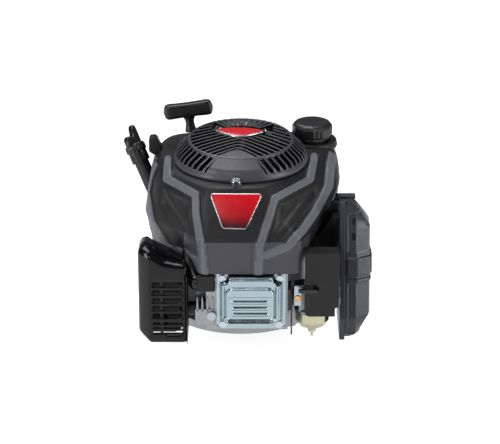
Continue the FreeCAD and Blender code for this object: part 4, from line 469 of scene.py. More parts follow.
def shroud_height(across, up, half_width, rib_rise, sink_depth):
    """How far the surface stands out at a place in the styling view, in mm, and whether it is rib."""
    height = 0.0
    rib = 0.0
    for path, half in ((LEFT_RIB, half_width), (RIGHT_RIB, half_width),
                       (LEFT_EDGE, half_width * 1.1), (RIGHT_EDGE, half_width * 1.1)):
        distance = line_distance(across, up, path)
        rise = step_down(distance, half - 1.4, half + 1.6)
        height = max(height, rise * rib_rise)
        rib = max(rib, step_down(distance, half - 0.6, half + 0.4))
    for corners, fin in ((LEFT_PANEL, LEFT_FIN), (RIGHT_PANEL, RIGHT_FIN)):
        depth = inside_distance(across, up, corners)
        if depth > -3.0 and height < 0.3:
            sink = 1.0 - step_down(depth, -2.0, 10.0)
            ridge = step_down(line_distance(across, up, fin), 0.0, 9.0)
            height -= sink * sink_depth * (1.0 - 0.9 * ridge)
    return height, rib


def shroud_surface(covers):
    """The shroud's outer skin, as a dense mesh in mm with its ribs pressed in."""
    count = len(SHROUD_COLUMNS)
    verts = []
    rows = 7
    for row in range(rows):
        for column in SHROUD_COLUMNS:
            edge = Vector(column[0])
            flat = Vector((edge.x, edge.y, 0.0)).normalized()
            if row == 0:
                verts.append((flat.x * RIM_RADIUS, flat.y * RIM_RADIUS, 230.6))
            elif row == 1:
                verts.append((flat.x * 99.5, flat.y * 99.5, 230.6))
            else:
                verts.append(column[row - 2])
    mesh = bpy.data.meshes.new("cage")
    mesh.from_pydata(verts, [], grid_faces(count, rows, wrap=True))
    cage = bpy.data.objects.new("cage", mesh)
    bpy.context.collection.objects.link(cage)
    crease = mesh.attributes.new("crease_edge", "FLOAT", "EDGE")
    for edge in mesh.edges:
        low, high = sorted(edge.vertices)
        row = low // count
        same_row = high // count == row
        if same_row and row in (0, 1):
            crease.data[edge.index].value = 0.4
        elif same_row and row == 2:
            crease.data[edge.index].value = 0.35
        elif same_row and row == 5:
            crease.data[edge.index].value = 0.55
        elif same_row and row == 6:
            crease.data[edge.index].value = 1.0
        elif not same_row and low % count in (6, 8) and row >= 4:
            crease.data[edge.index].value = 0.5
    subdivide(cage, 5)
    dense = cage.evaluated_get(bpy.context.evaluated_depsgraph_get()).to_mesh()
    points = [v.co.copy() for v in dense.vertices]
    faces = [tuple(p.vertices) for p in dense.polygons]
    normals = [v.normal.copy() for v in dense.vertices]
    cage.evaluated_get(bpy.context.evaluated_depsgraph_get()).to_mesh_clear()
    bpy.data.objects.remove(cage)
    bpy.data.meshes.remove(mesh)
    ribs = []
    for index, point in enumerate(points):
        flat = math.hypot(point.x, point.y)
        if point.y > 92.0 or flat < 99.0:
            ribs.append(0.0)
            continue
        across, up = to_styling(point)
        height, rib = shroud_height(across, up, covers.rib_width / 2.0 / MM, covers.rib_rise / MM,
                                    covers.panel_depth / MM)
        normal = normals[index]
        facing = abs(normal.dot(EYE_AXIS))
        fade = (step_down(point.y, 20.0, 70.0) * (1.0 - step_down(flat, 99.0, 104.0))
                * (1.0 - step_down(facing, 0.10, 0.30)))
        if normal.dot(Vector((point.x, point.y, 40.0))) < 0:
            normal = -normal
        points[index] = point + normal * height * fade
        ribs.append(rib * fade)
    return points, faces, ribs


SHROUD = {}


def build_shroud(covers):
    """Blower housing with its ribs, recessed panels, fuel collar and rope guide."""
    points, faces, ribs = shroud_surface(covers)
    piece = new_piece("shroud_skin", points, faces, "grained_plastic", replaced=("blower_housing",))
    piece.data.materials.append(MATERIALS["ridge_plastic"])
    piece.data.materials.append(MATERIALS["nose_plastic"])
    for polygon in piece.data.polygons:
        share = sum(ribs[index] for index in polygon.vertices) / len(polygon.vertices)
        middle = sum((points[index] for index in polygon.vertices), Vector()) / len(polygon.vertices)
        # painted highlight: faces on the ribs get the paler rib material
        if share > 0.5:
            polygon.material_index = 1
        # painted reflection: the upright front below the crease gets the paler nose material, for the pale
        # floor it reflects
        elif middle.z < 160.0 and middle.y < -112.0:
            polygon.material_index = 2
    thicken(piece, 2.4)
    SHROUD["tree"] = BVHTree.FromPolygons([Vector(p) for p in points], faces)
    verts, faces = lathe(((27.0, 233.5), (33.5, 233.5), (36.0, 234.5), (37.0, 233.0), (37.5, 229.0),
                          (40.0, 222.0), (27.0, 222.0), (27.0, 233.5)), 72, 108.0, 85.0)
    collar = new_piece("fuel_collar", verts, faces, "grained_plastic", sharp=50)
    subdivide(collar, 1)
    verts, faces = tube([(-71.0 - 0.12 * t, 80.0 + 0.1 * t, 205.0 + t) for t in (22, 27, 33, 36, 37)],
                        (16.0, 13.0, 11.0, 10.0, 6.0), 32)
    new_piece("rope_guide", verts, faces, "grained_plastic", sharp=60)


def build_label():
    """Front plate laid on the shroud: red film with a pale border, no lettering."""
    tree = SHROUD["tree"]
    centre_x = sum(c[0] for c in LABEL_CORNERS) / 4.0
    centre_y = sum(c[1] for c in LABEL_CORNERS) / 4.0
    top_left, top_right, bottom_right, bottom_left = LABEL_CORNERS
    columns = 49
    rows = 41

    def place(u, v, lift, shrink):
        over = rounded_rect(u * 80.0, v * 54.0, 40.0, 27.0, 40.0, 27.0, 6.0)
        if over > 0.0:
            pull = over * 0.72 / math.hypot(u * 80.0 - 40.0, v * 54.0 - 27.0)
            u -= (u - 0.5) * pull * 1.6
            v -= (v - 0.5) * pull * 1.6
        ax = top_left[0] + (top_right[0] - top_left[0]) * u
        ay = top_left[1] + (top_right[1] - top_left[1]) * u
        bx = bottom_left[0] + (bottom_right[0] - bottom_left[0]) * u
        by = bottom_left[1] + (bottom_right[1] - bottom_left[1]) * u
        x = ax + (bx - ax) * v
        y = ay + (by - ay) * v
        x = centre_x + (x - centre_x) * shrink
        y = centre_y + (y - centre_y) * shrink
        hit = tree.ray_cast(EYE, from_styling(x, y))
        normal = hit[1] if hit[1].dot(EYE - hit[0]) > 0 else -hit[1]
        return hit[0] + normal * lift

    for name, slot, lift, shrink, replaced in (("label_border", "badge_silver", 0.5, 1.0, ("front_plate",)),
                                               ("label_face", "plate_red", 0.8, 0.955, ())):
        verts = []
        for row in range(rows):
            for column in range(columns):
                u = column / (columns - 1)
                v = row / (rows - 1)
                verts.append(tuple(place(u, v, lift, shrink)))
        piece = new_piece(name, verts, grid_faces(columns, rows), slot, replaced=replaced)
        thicken(piece, 0.5)


# ---------------------------------------------------------------- fan cover
GRILLE_TURN = -4.6
PANEL_MIDDLE = 265.4
PANEL_HALF = 27.5
RIB_COUNT = 54


def grille_lift(y):
    """How much the fan cover's top stands higher towards the rear, in mm."""
    return 3.9 + 0.055 * y


def grille_crown(x, y):
    """Height of the fan cover's gently domed top, in mm."""
    return 265.4 - 4.6 * (x * x + y * y) / 5776.0 + grille_lift(y)


def grille_side(share):
    """Radius and height along the fan cover's side, share 0 at the foot, 1 at the top edge."""
    if share < 0.38:
        part = share / 0.38
        return 97.2 - 3.4 * part, 239.5 + 8.0 * part
    part = (share - 0.38) / 0.62
    return 93.8 - 17.8 * part, 247.5 + 13.4 * part


def turned_point(x, y):
    """Turns a point of the fan cover's styling into place."""
    angle = math.radians(GRILLE_TURN)
    return x * math.cos(angle) - y * math.sin(angle), x * math.sin(angle) + y * math.cos(angle)


def build_grille(covers):
    """Fan cover: base ring, side ribs, solid front panel, and chevron louvres across the top."""
    profile = [(92.0, 231.2), (98.6, 231.2), (99.4, 232.6), (99.0, 236.0), (97.4, 239.8), (96.4, 240.6),
               (92.6, 240.6), (92.0, 239.6), (92.0, 231.2)]
    verts, faces = lathe(profile, 180)
    new_piece("grille_base_ring", verts, faces, "grille_rib", replaced=("fan_grille",), sharp=50)
    ribs = []
    samples = 10
    for index in range(RIB_COUNT):
        degrees = 360.0 * (index + 0.5) / RIB_COUNT + PANEL_MIDDLE
        away = (degrees - PANEL_MIDDLE + 180.0) % 360.0 - 180.0
        if abs(away) < PANEL_HALF - 1.0:
            continue
        sweep = 9.0 * step_down(abs(away), 24.0, 70.0) * (-1.0 if away > 0 else 1.0)
        verts = []
        for sample in range(samples):
            share = sample / (samples - 1)
            radius, z = grille_side(share)
            angle = math.radians(degrees + sweep * share ** 1.5)
            along = Vector((math.cos(angle), math.sin(angle), 0.0))
            side = Vector((-math.sin(angle), math.cos(angle), 0.0))
            half = 2.5 - 0.9 * share
            for r, h, sign in ((radius, z, 1), (radius, z, -1), (radius - 6.0, z - 4.5, -1),
                               (radius - 6.0, z - 4.5, 1)):
                p = along * r + side * half * sign
                verts.append((p.x, p.y, h + share * grille_lift(p.y)))
        faces = grid_faces(4, samples, wrap=True)
        faces.append((0, 1, 2, 3))
        faces.append(tuple(range(len(verts) - 4, len(verts))))
        ribs.append((verts, faces))
    verts, faces = merge(ribs)
    piece = new_piece("grille_side_ribs", verts, faces, "grille_rib", smooth=False)
    # painted shade: faces looking into the slots between the side ribs are made black
    paint_slot_shade(piece, 0.55)
    bevel(piece, 0.5, 2)
    rows = 16
    columns = 64
    verts = []
    for row in range(rows):
        share = row / (rows - 1)
        radius, z = grille_side(share)
        spread = PANEL_HALF * (1.0 - 0.24 * share)
        for column in range(columns):
            angle = math.radians(PANEL_MIDDLE + spread * (2.0 * column / (columns - 1) - 1.0))
            y = radius * math.sin(angle)
            verts.append((radius * math.cos(angle), y, z + 0.1 + share * grille_lift(y)))
    for row in range(1, 9):
        for column in range(columns):
            across = 2.0 * column / (columns - 1) - 1.0
            angle = math.radians(PANEL_MIDDLE + PANEL_HALF * 0.76 * across)
            edge_x, edge_y = 76.0 * math.cos(angle), 76.0 * math.sin(angle)
            goal_x, goal_y = turned_point(27.0 * across, -48.0 - 21.0 * abs(across) ** 1.2)
            share = row / 8.0
            x = edge_x + (goal_x - edge_x) * share
            y = edge_y + (goal_y - edge_y) * share
            verts.append((x, y, grille_crown(x, y) + 0.2 * (1.0 - share)))
    panel = new_piece("grille_front_panel", verts, grid_faces(columns, rows + 8), "grille_rib", sharp=40)
    thicken(panel, 2.4)
    slats = []
    pitch = covers.louvre_pitch / MM
    for index in range(12):
        apex = -42.0 + index * pitch
        slope = 0.84 - 0.045 * index
        for side in (-1.0, 1.0):
            run = [step * 1.5 for step in range(52)]
            keep = []
            for x in run:
                y = apex - slope * (math.hypot(x, 6.0) - 6.0)
                blocked = abs(x) < 35.5 and badge_foot(x) - 3.0 < y
                behind = y > 36.0 - 0.25 * abs(x) and abs(x) < 44.0
                if math.hypot(x, y) > 75.2 or blocked or behind:
                    if keep:
                        break
                    continue
                keep.append((side * x, y))
            if len(keep) < 3:
                continue
            verts = []
            for x, y in keep:
                for dy, dz in ((0.0, 0.0), (-3.1, 0.0), (-3.8, -4.6), (-1.4, -4.8)):
                    px, py = turned_point(x, y + dy)
                    verts.append((px, py, grille_crown(px, py) + dz))
            faces = grid_faces(4, len(keep), wrap=True)
            faces.append((0, 1, 2, 3))
            faces.append(tuple(range(len(verts) - 4, len(verts))))
            slats.append((verts, faces))
    for step in range(-5, 6):
        heading = math.radians(90.0 + step * 7.4)
        verts = []
        for radius in (38.0, 48.0, 58.0, 68.0, 77.0):
            x, y = radius * math.cos(heading), radius * math.sin(heading) + 2.0
            for across, dz in ((-2.4, 0.0), (2.4, 0.0), (2.4, -4.0), (-2.4, -4.0)):
                px, py = turned_point(x + across, y)
                verts.append((px, py, grille_crown(px, py) + dz))
        faces = grid_faces(4, 5, wrap=True)
        faces.append((0, 1, 2, 3))
        faces.append(tuple(range(len(verts) - 4, len(verts))))
        slats.append((verts, faces))
    verts, faces = merge(slats)
    piece = new_piece("grille_louvres", verts, faces, "grille_rib", smooth=False)
    # painted shade: faces looking into the gaps between the louvres are made black
    paint_slot_shade(piece, 0.8)
    bevel(piece, 0.45, 2)
    verts, faces = lathe([(74.2, 258.6), (74.2, 260.8), (75.0, 261.4), (76.6, 261.0), (77.6, 259.8),
                          (77.2, 256.4), (74.2, 256.4), (74.2, 258.6)], 180)
    verts = [(x, y, z + grille_lift(y)) for x, y, z in verts]
    new_piece("grille_top_ring", verts, faces, "grille_rib", sharp=50)
    profile = [(0.0, 240.6), (4.6, 240.6), (5.3, 239.6), (5.3, 236.0), (7.6, 235.6), (7.9, 234.4),
               (7.2, 233.6), (0.0, 233.6)]
    verts, faces = lathe(profile, 60, -6.5, -100.0,
                         lambda angle, radius, z: 0.5 * math.cos(angle * 6.0) if radius < 6.0 else 0.0)
    new_piece("front_screw", verts, faces, "bright_screw", sharp=35)
    verts, faces = lathe([(0.0, 233.4), (8.8, 233.4), (9.4, 232.6), (9.4, 228.0), (0.0, 228.0)], 60, -6.5,
                         -99.0)
    new_piece("front_screw_lug", verts, faces, "grille_plastic", sharp=40)
    # painted shade: a black disc under the louvres, so the gaps between the slats read dark
    verts, faces = lathe([(73.0, 246.0), (40.0, 249.0), (0.5, 249.5)], 96)
    new_piece("grille_painted_shade_disc", verts, faces, "black_rubber", sharp=50)
    for name, slot, grow, lift, deep in (("badge_bezel", "badge_silver", 1.3, 1.4, 3.4),
                                         ("badge_face", "badge_red", 0.0, 2.0, 1.2)):
        verts = []
        for step in range(49):
            x = (34.0 + grow) * (2.0 * step / 48.0 - 1.0)
            low = badge_foot(x) - grow * 1.6
            high = badge_crown(x) + grow * 1.6
            for share in range(7):
                px, py = turned_point(x - 3.5, low + (high - low) * share / 6.0)
                verts.append((px, py, grille_crown(px, py) + lift))
        badge = new_piece(name, verts, grid_faces(7, 49), slot,
                          replaced=("top_badge",) if name == "badge_bezel" else ())
        thicken(badge, deep)


def paint_slot_shade(piece, least):
    """Paints shade into the slots: the faces that look into a slot get the black rubber material; the others
    face up or outwards.
    """
    piece.data.materials.append(MATERIALS["black_rubber"])
    for polygon in piece.data.polygons:
        middle = polygon.center
        outward = Vector((middle.x, middle.y, 0.08)).normalized()
        if polygon.normal.dot(outward) < least and polygon.normal.z < least:
            polygon.material_index = 1


def badge_foot(x):
    """Front edge of the lens on the fan cover, in mm."""
    return 17.0 - 23.0 * max(0.0, 1.0 - abs(x / 34.6) ** 1.5)


def badge_crown(x):
    """Rear edge of the lens on the fan cover, in mm."""
    return 17.6 + 8.0 * max(0.0, 1.0 - abs(x / 34.6) ** 2.2)


# ---------------------------------------------------------------- caps and handles
def build_fuel_cap():
    """Screw cap: six smooth facets with ribbed grips between them, and a bevelled flat top."""
    def grip(angle, radius, z):
        if radius < 24.5:
            return 0.0
        turn = (math.degrees(angle) + 76.0) % 60.0 - 30.0
        fade = step_down(abs(z - 249.5), 9.0, 12.0)
        if abs(turn) < 16.0:
            flat = 29.4 / math.cos(math.radians(turn)) - 30.6
            return flat * fade
        return (-1.3 + 0.55 * math.cos(math.radians(turn * 40.0))) * fade
    profile = [(0.0, 260.2), (10.0, 260.2), (18.0, 260.6), (22.0, 261.2), (24.4, 261.0), (26.4, 260.2),
               (28.6, 258.6), (30.2, 256.4), (30.6, 254.0), (30.6, 251.0), (30.6, 248.0), (30.6, 245.0),
               (30.5, 242.8), (30.0, 241.2), (28.4, 240.4), (26.8, 240.0), (26.6, 237.4), (25.0, 237.0),
               (25.0, 240.0)]
    verts, faces = lathe(profile, 360, 108.0, 85.0, grip)
    new_piece("fuel_cap_grip", verts, faces, "cap_plastic", body="cap", replaced=("fuel_cap",), sharp=45)


HANDLE_FOOT = Vector((-71.0, 80.0, 205.0))
HANDLE_AXIS = Vector((-0.12, 0.10, 1.0)).normalized()
ROPE_RADIUS = 2.25


def build_handle():
    """Pull handle: a rounded T bar on a waisted stem."""
    spin = Matrix.Rotation(math.radians(5.0), 3, "Z")
    tilt = Vector((0, 0, 1)).rotation_difference(HANDLE_AXIS).to_matrix()

    def put(p):
        return tuple(HANDLE_FOOT + tilt @ (spin @ Vector(p)))

    verts = []
    rings = 41
    steps = 36
    for ring in range(rings):
        share = ring / (rings - 1) * 2.0 - 1.0
        x = share * 38.0
        end = max(0.0, 1.0 - abs(share) ** 11) ** 0.5
        half_z = (10.6 + 1.6 * share * share) * end
        half_y = (9.8 + 0.9 * share * share) * end
        for step in range(steps):
            angle = math.tau * step / steps
            c, s = math.cos(angle), math.sin(angle)
            px = abs(c) ** 0.4 * (1 if c > 0 else -1)
            pz = abs(s) ** 0.4 * (1 if s > 0 else -1)
            verts.append(put((x, px * half_y, 74.5 + pz * half_z + 0.8)))
    faces = grid_faces(steps, rings, wrap=True)
    stem = []
    for z, rx, ry in ((40.6, 8.0, 7.4), (41.4, 9.2, 8.4), (46.0, 8.2, 7.6), (52.0, 6.7, 6.4),
                      (58.0, 6.6, 6.2), (62.5, 8.2, 6.6), (66.0, 11.5, 7.2), (69.0, 16.0, 7.6)):
        for step in range(28):
            angle = math.tau * step / 28
            stem.append(put((rx * math.cos(angle), ry * math.sin(angle), z)))
    parts = [(verts, faces), (stem, grid_faces(28, 8, wrap=True) + [tuple(range(28))])]
    verts, faces = merge(parts)
    handle = new_piece("pull_handle", verts, faces, "handle_plastic", body="handle",
                       replaced=("starter_handle",))
    subdivide(handle, 1)


def build_rope():
    """Starter rope between its guide and the handle."""
    marks = [HANDLE_FOOT + HANDLE_AXIS * (26.0 + 1.5 * step) for step in range(25)]
    verts, faces = tube([tuple(mark) for mark in marks], [ROPE_RADIUS] * len(marks), 16)
    rope = new_piece("pulled_rope", verts, faces, "rope_braid", body=None)
    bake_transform(rope)


def filler_frame():
    """Top of the filler tube and its upward direction, in mm."""
    top = Vector((-155.8, 55.5, 221.0))
    bend = Vector((-87.3, -1.0, 74.0))
    return top, (top - bend).normalized()


def grip_groove(angle, radius, z):
    """Depth of the grooves round the dipstick cap, in mm."""
    return -0.8 * (math.cos(angle * 14.0) > 0.0) if radius > 15 else 0.0


def build_dipstick():
    """Dipstick cap with a two-lobed wing, and the clip beside the filler tube."""
    top, upward = filler_frame()
    tilt = Vector((0, 0, 1)).rotation_difference(upward).to_matrix()
    spin = Matrix.Rotation(math.radians(66.0), 3, "Z")

    def put(p):
        return tuple(top + tilt @ (spin @ Vector(p)))

    outline = [(-18.5, 1), (-19, 8), (-17, 14), (-12, 17), (-6, 14), (0, 13), (4, 18), (7, 26), (11, 31),
               (16, 31), (18.5, 26), (18.5, 12), (18, 1), (8, -2), (-8, -2)]
    verts, faces = plate(outline, -4.6, 4.6)
    verts = [put((x, y, 12.0 + z)) for x, y, z in verts]
    wing = new_piece("dipstick_wing", verts, faces, "handle_plastic", body="dip", smooth=False)
    bevel(wing, 2.8, 4, 20)
    profile = [(0.0, 15.0), (12.5, 15.0), (15.0, 13.4), (15.8, 10.0), (15.8, 3.6), (14.8, 2.6), (0.0, 2.6)]
    verts, faces = lathe(profile, 84, 0.0, 0.0, grip_groove)
    verts = [put(v) for v in verts]
    new_piece("dipstick_cap", verts, faces, "handle_plastic", body="dip", sharp=45)
    blade_top = top + upward * 2.0
    blade_end = top - upward * 126.0
    verts, faces = tube([tuple(blade_end.lerp(blade_top, s / 8.0)) for s in range(9)], [2.0] * 9, 12)
    new_piece("dipstick_blade", verts, faces, "zinc_plate", body="dip", replaced=("dipstick",))
    outline = [(-138.5, 226.0), (-138.5, 245.0), (-136.5, 248.0), (-128.5, 248.6), (-125.8, 246.4),
               (-118.0, 229.0), (-118.5, 221.0), (-130.0, 220.0)]
    verts, faces = plate(outline, 46.5, 64.5)
    clamp = new_piece("filler_clip", verts, faces, "black_plastic", smooth=False)
    bevel(clamp, 1.6, 3, 20)


# ---------------------------------------------------------------- cylinder end
def cover_height(x, z):
    """How far the pressed valve cover stands out from its flange, in mm."""
    outer = rounded_rect(x, z, 15.2, 71.2, 45.4, 40.6, 15.0)
    height = 15.0 * step_down(outer, -3.8, 0.2)
    lip = rounded_rect(x, z, 15.0, 71.5, 41.0, 36.5, 12.0)
    height += 3.0 * step_down(lip, -2.4, 0.0)
    valley = rounded_rect(x, z, 13.6, 76.0, 38.0, 33.5, 11.0)
    height -= 2.6 * step_down(valley, -2.4, 0.4)
    panel = rounded_rect(x, z, 13.4, 65.2, 35.4, 30.2, 10.0)
    height += 4.4 * step_down(panel, -2.0, 0.2)
    field = rounded_rect(x, z, 13.4, 64.2, 31.6, 18.0, 3.0)
    height -= 1.5 * step_down(field, -1.2, 0.4)
    for row in (-1, 0, 1):
        rib = rounded_rect(x, z, 13.4, 64.2 + row * 9.6, 26.0, 2.2, 2.1)
        height += 1.9 * step_down(rib, -1.2, 0.9)
    for centre_x, centre_z in ((-26.0, 33.0), (56.0, 33.0), (-26.0, 109.0), (56.0, 109.0)):
        well = math.hypot(x - centre_x, z - centre_z)
        height = min(height, 24.0 * (1.0 - step_down(well, 8.0, 12.6)))
    return height


def build_valve_cover():
    """Pressed rocker cover with a plain embossed panel in place of any lettering."""
    columns = 150
    rows = 140
    verts = []
    for row in range(rows):
        for column in range(columns):
            u = column / (columns - 1) * 2.0 - 1.0
            v = row / (rows - 1) * 2.0 - 1.0
            x = 15.0 + 50.0 * u
            z = 71.0 + 47.0 * v
            over = rounded_rect(x, z, 15.0, 71.0, 50.0, 47.0, 9.0)
            if over > 0.0:
                pull = over / math.hypot(x - 15.0, z - 71.0)
                x -= (x - 15.0) * pull * 1.45
                z -= (z - 71.0) * pull * 1.45
            verts.append((x, -148.4 - cover_height(x, z), z))
    cover = new_piece("rocker_cover", verts, grid_faces(columns, rows), "zinc_cover",
                      replaced=("valve_cover",))
    thicken(cover, 1.5)


def build_boot():
    """Rubber sleeve that carries the lead up from the plug boot to the shroud."""
    points = [(-63.0, -137.0, 92.0), (-66.5, -134.0, 101.0), (-70.5, -129.0, 111.0), (-75.0, -122.0, 121.0),
              (-79.0, -112.0, 130.0), (-80.0, -100.0, 136.0)]
    verts, faces = tube(points, (10.5, 10.0, 8.6, 7.4, 6.6, 6.2), 28)
    sleeve = new_piece("boot_sleeve", verts, faces, "black_rubber", sharp=60)
    subdivide(sleeve, 1)


def build_port_fins():
    """Cast cooling fins beside the exhaust port."""
    parts = [block(-66.0, -38.5, -149.0, -145.6, 30.0, 55.0)]
    for index in range(4):
        x = -62.5 + index * 7.2
        outline = [(x - 1.6, 52.0), (x + 1.6, 52.0), (x + 1.1, 70.0), (x + 0.5, 74.0), (x - 0.5, 74.0),
                   (x - 1.1, 70.0)]
        verts = [(px, y, z) for y in (-149.0, -145.8) for px, z in outline]
        faces = [tuple(range(6)), tuple(reversed(range(6, 12)))]
        faces += [(i, (i + 1) % 6, 6 + (i + 1) % 6, 6 + i) for i in range(6)]
        parts.append((verts, faces))
    verts, faces = merge(parts)
    fins = new_piece("port_fins", verts, faces, "cast_aluminium", smooth=False)
    bevel(fins, 0.7, 2)
    # painted shade: a black block over the upper head stands for the shadow under the shroud
    verts, faces = merge([block(-63.0, -36.5, -154.0, -146.4, 84.0, 110.0)])
    cover = new_piece("head_shade_block", verts, faces, "black_plastic", smooth=False)
    bevel(cover, 3.0, 4)


# ---------------------------------------------------------------- exhaust guard
GUARD_SHOULDER = 101.0
GUARD_RISE = 48.0
GUARD_SLOTS = ((19.4, 22.4), (25.6, 28.4), (32.0, 36.4), (42.0, 50.0), (54.0, 62.2), (66.2, 74.6),
               (78.6, 87.0), (91.0, 99.2))


def guard_outline(inset_mm):
    """Plan of the guard from its right rear to its left rear, moved inwards, in mm."""
    right = -77.0 - inset_mm
    front = -152.6 + inset_mm
    left = -148.2 + inset_mm
    soft = 5.0
    points = [(right, -97.0), (right, -125.0), (right, front + soft), (right - 0.5, front + 2.6),
              (right - 2.2, front + 0.7), (-84.0, front)]
    points += [(-84.0 - 5.6 * step, front) for step in range(1, 6)]
    points += [(-116.0, front), (-127.0, front), (-131.0 + inset_mm * 0.2, front + 0.5),
               (-134.0 + inset_mm * 0.3, front + 2.0), (-144.5 + inset_mm * 0.8, -142.0 + inset_mm * 0.6),
               (left + 0.9, -138.6 + inset_mm * 0.3), (left, -134.0), (left, -118.0), (left, -97.0)]
    return points


GUARD_ROOF = ((-150.0, 149.0), (-135.0, 148.0), (-121.0, 138.0), (-113.0, 131.0),
              (-95.0, 127.0), (-76.0, 125.0))


def guard_roof(x):
    """Height of the guard's top, which falls away under the shroud, in mm."""
    for (left, first), (right, second) in zip(GUARD_ROOF, GUARD_ROOF[1:]):
        if x <= right:
            return first + (second - first) * max(0.0, x - left) / (right - left)
    return GUARD_ROOF[-1][1]


def sloped_height(x, z):
    """Height of a point of the guard once its roof slopes down, in mm."""
    if z <= GUARD_SHOULDER:
        return z
    return min(z, GUARD_SHOULDER + (z - GUARD_SHOULDER) * (guard_roof(x) - GUARD_SHOULDER) / GUARD_RISE)


def build_guard():
    """Deep-drawn guard with rounded shoulders and two columns of louvre slots."""
    heights = [3.0, 5.5, 10.0]
    for low, high in GUARD_SLOTS:
        heights += [low, high]
    heights += [108.0, 118.0, 128.0, 136.0]
    rings = []
    for z in heights:
        lean = max(0.0, 5.5 - z) * 0.9
        ring = []
        for x, y in guard_outline(lean):
            lift = max(0.0, -131.0 - x) * 0.76 * step_down(z, 3.0, 42.0)
            ring.append((x, y, z + lift))
        rings.append(ring)
    corner = 13.0
    for step in range(1, 8):
        angle = math.radians(90.0 * step / 7.0)
        moved = corner * (1.0 - math.cos(angle))
        rings.append([(x, y, 136.0 + corner * math.sin(angle)) for x, y in guard_outline(moved)])
    inner = []
    for x, y in guard_outline(corner + 8.0):
        inner.append((x, min(y, -97.0), 149.3))
    rings.append(inner)
    verts = []
    for ring in rings:
        verts += ring
    verts = [(x, y, sloped_height(x, z)) for x, y, z in verts]
    columns = len(rings[0])
    faces = []
    for index, face in enumerate(grid_faces(columns, len(rings))):
        row, column = divmod(index, columns - 1)
        first = rings[row][column]
        second = rings[row][column + 1]
        middle = (first[0] + second[0]) / 2.0
        is_slot = row < len(heights) - 1 and any(abs(heights[row] - low) < 0.01 for low, high in GUARD_SLOTS)
        in_columns = -112.1 < middle < -84.0 or -127.0 < middle < -116.0
        if is_slot and in_columns and (first[1] + second[1]) / 2.0 < -151.0:
            continue
        faces.append(face)
    faces.append(tuple(range(len(verts) - columns, len(verts))))
    guard = new_piece("exhaust_guard", verts, faces, "gloss_black", replaced=("muffler_guard",), sharp=48)
    thicken(guard, 1.4, -1.0)
    verts, faces = merge([block(-78.4, -77.0, -155.4, -97.0, 3.0, 110.0)])
    flange = new_piece("guard_edge", verts, faces, "gloss_black", smooth=False)
    bevel(flange, 0.6, 3)


# ---------------------------------------------------------------- intake side
def build_shield():
    """Plain folded sheet in front of the carburettor, with a notch for the choke tab."""
    corner = []
    for degrees in (180, 198, 216, 234, 252, 270):
        angle = math.radians(degrees)
        corner.append((99.5 + 7.5 * math.cos(angle), 54.5 + 7.5 * math.sin(angle)))
    outline = corner + [(136.0, 47.0), (136.0, 60.0), (141.5, 62.0), (141.5, 145.0), (92.0, 145.0),
                        (92.0, 96.0), (109.0, 96.0), (113.0, 91.0), (109.0, 86.0), (92.0, 84.0)]
    sheet = plate(outline, -157.2, -156.0)
    top = block(92.0, 141.5, -157.2, -130.0, 144.0, 145.2)
    side = block(140.5, 141.7, -157.2, -104.0, 90.0, 145.2)
    verts, faces = merge([sheet, top, side])
    shield = new_piece("air_shield", verts, faces, "satin_black", replaced=("carb_shield",), smooth=False)
    bevel(shield, 0.5, 2)


FILTER_EDGE = ((6.0, 167.0), (11.0, 173.5), (38.0, 188.2), (160.0, 188.2), (184.0, 174.0), (190.0, 168.0),
               (195.5, 158.0))


def filter_reach(z):
    """How far out the filter cover comes at a height, in mm."""
    for (low, first), (high, second) in zip(FILTER_EDGE, FILTER_EDGE[1:]):
        if z <= high:
            return first + (second - first) * max(0.0, z - low) / (high - low)
    return FILTER_EDGE[-1][1]


def filter_front(z):
    """Front of the filter cover at a height, in mm."""
    front = -140.0 if z < 36.0 else -140.0 + (z - 36.0) * 46.0 / 159.0
    return front + 5.0 * step_down(z, 6.0, 12.0) + 5.0 * (1.0 - step_down(z, 187.0, 195.5))


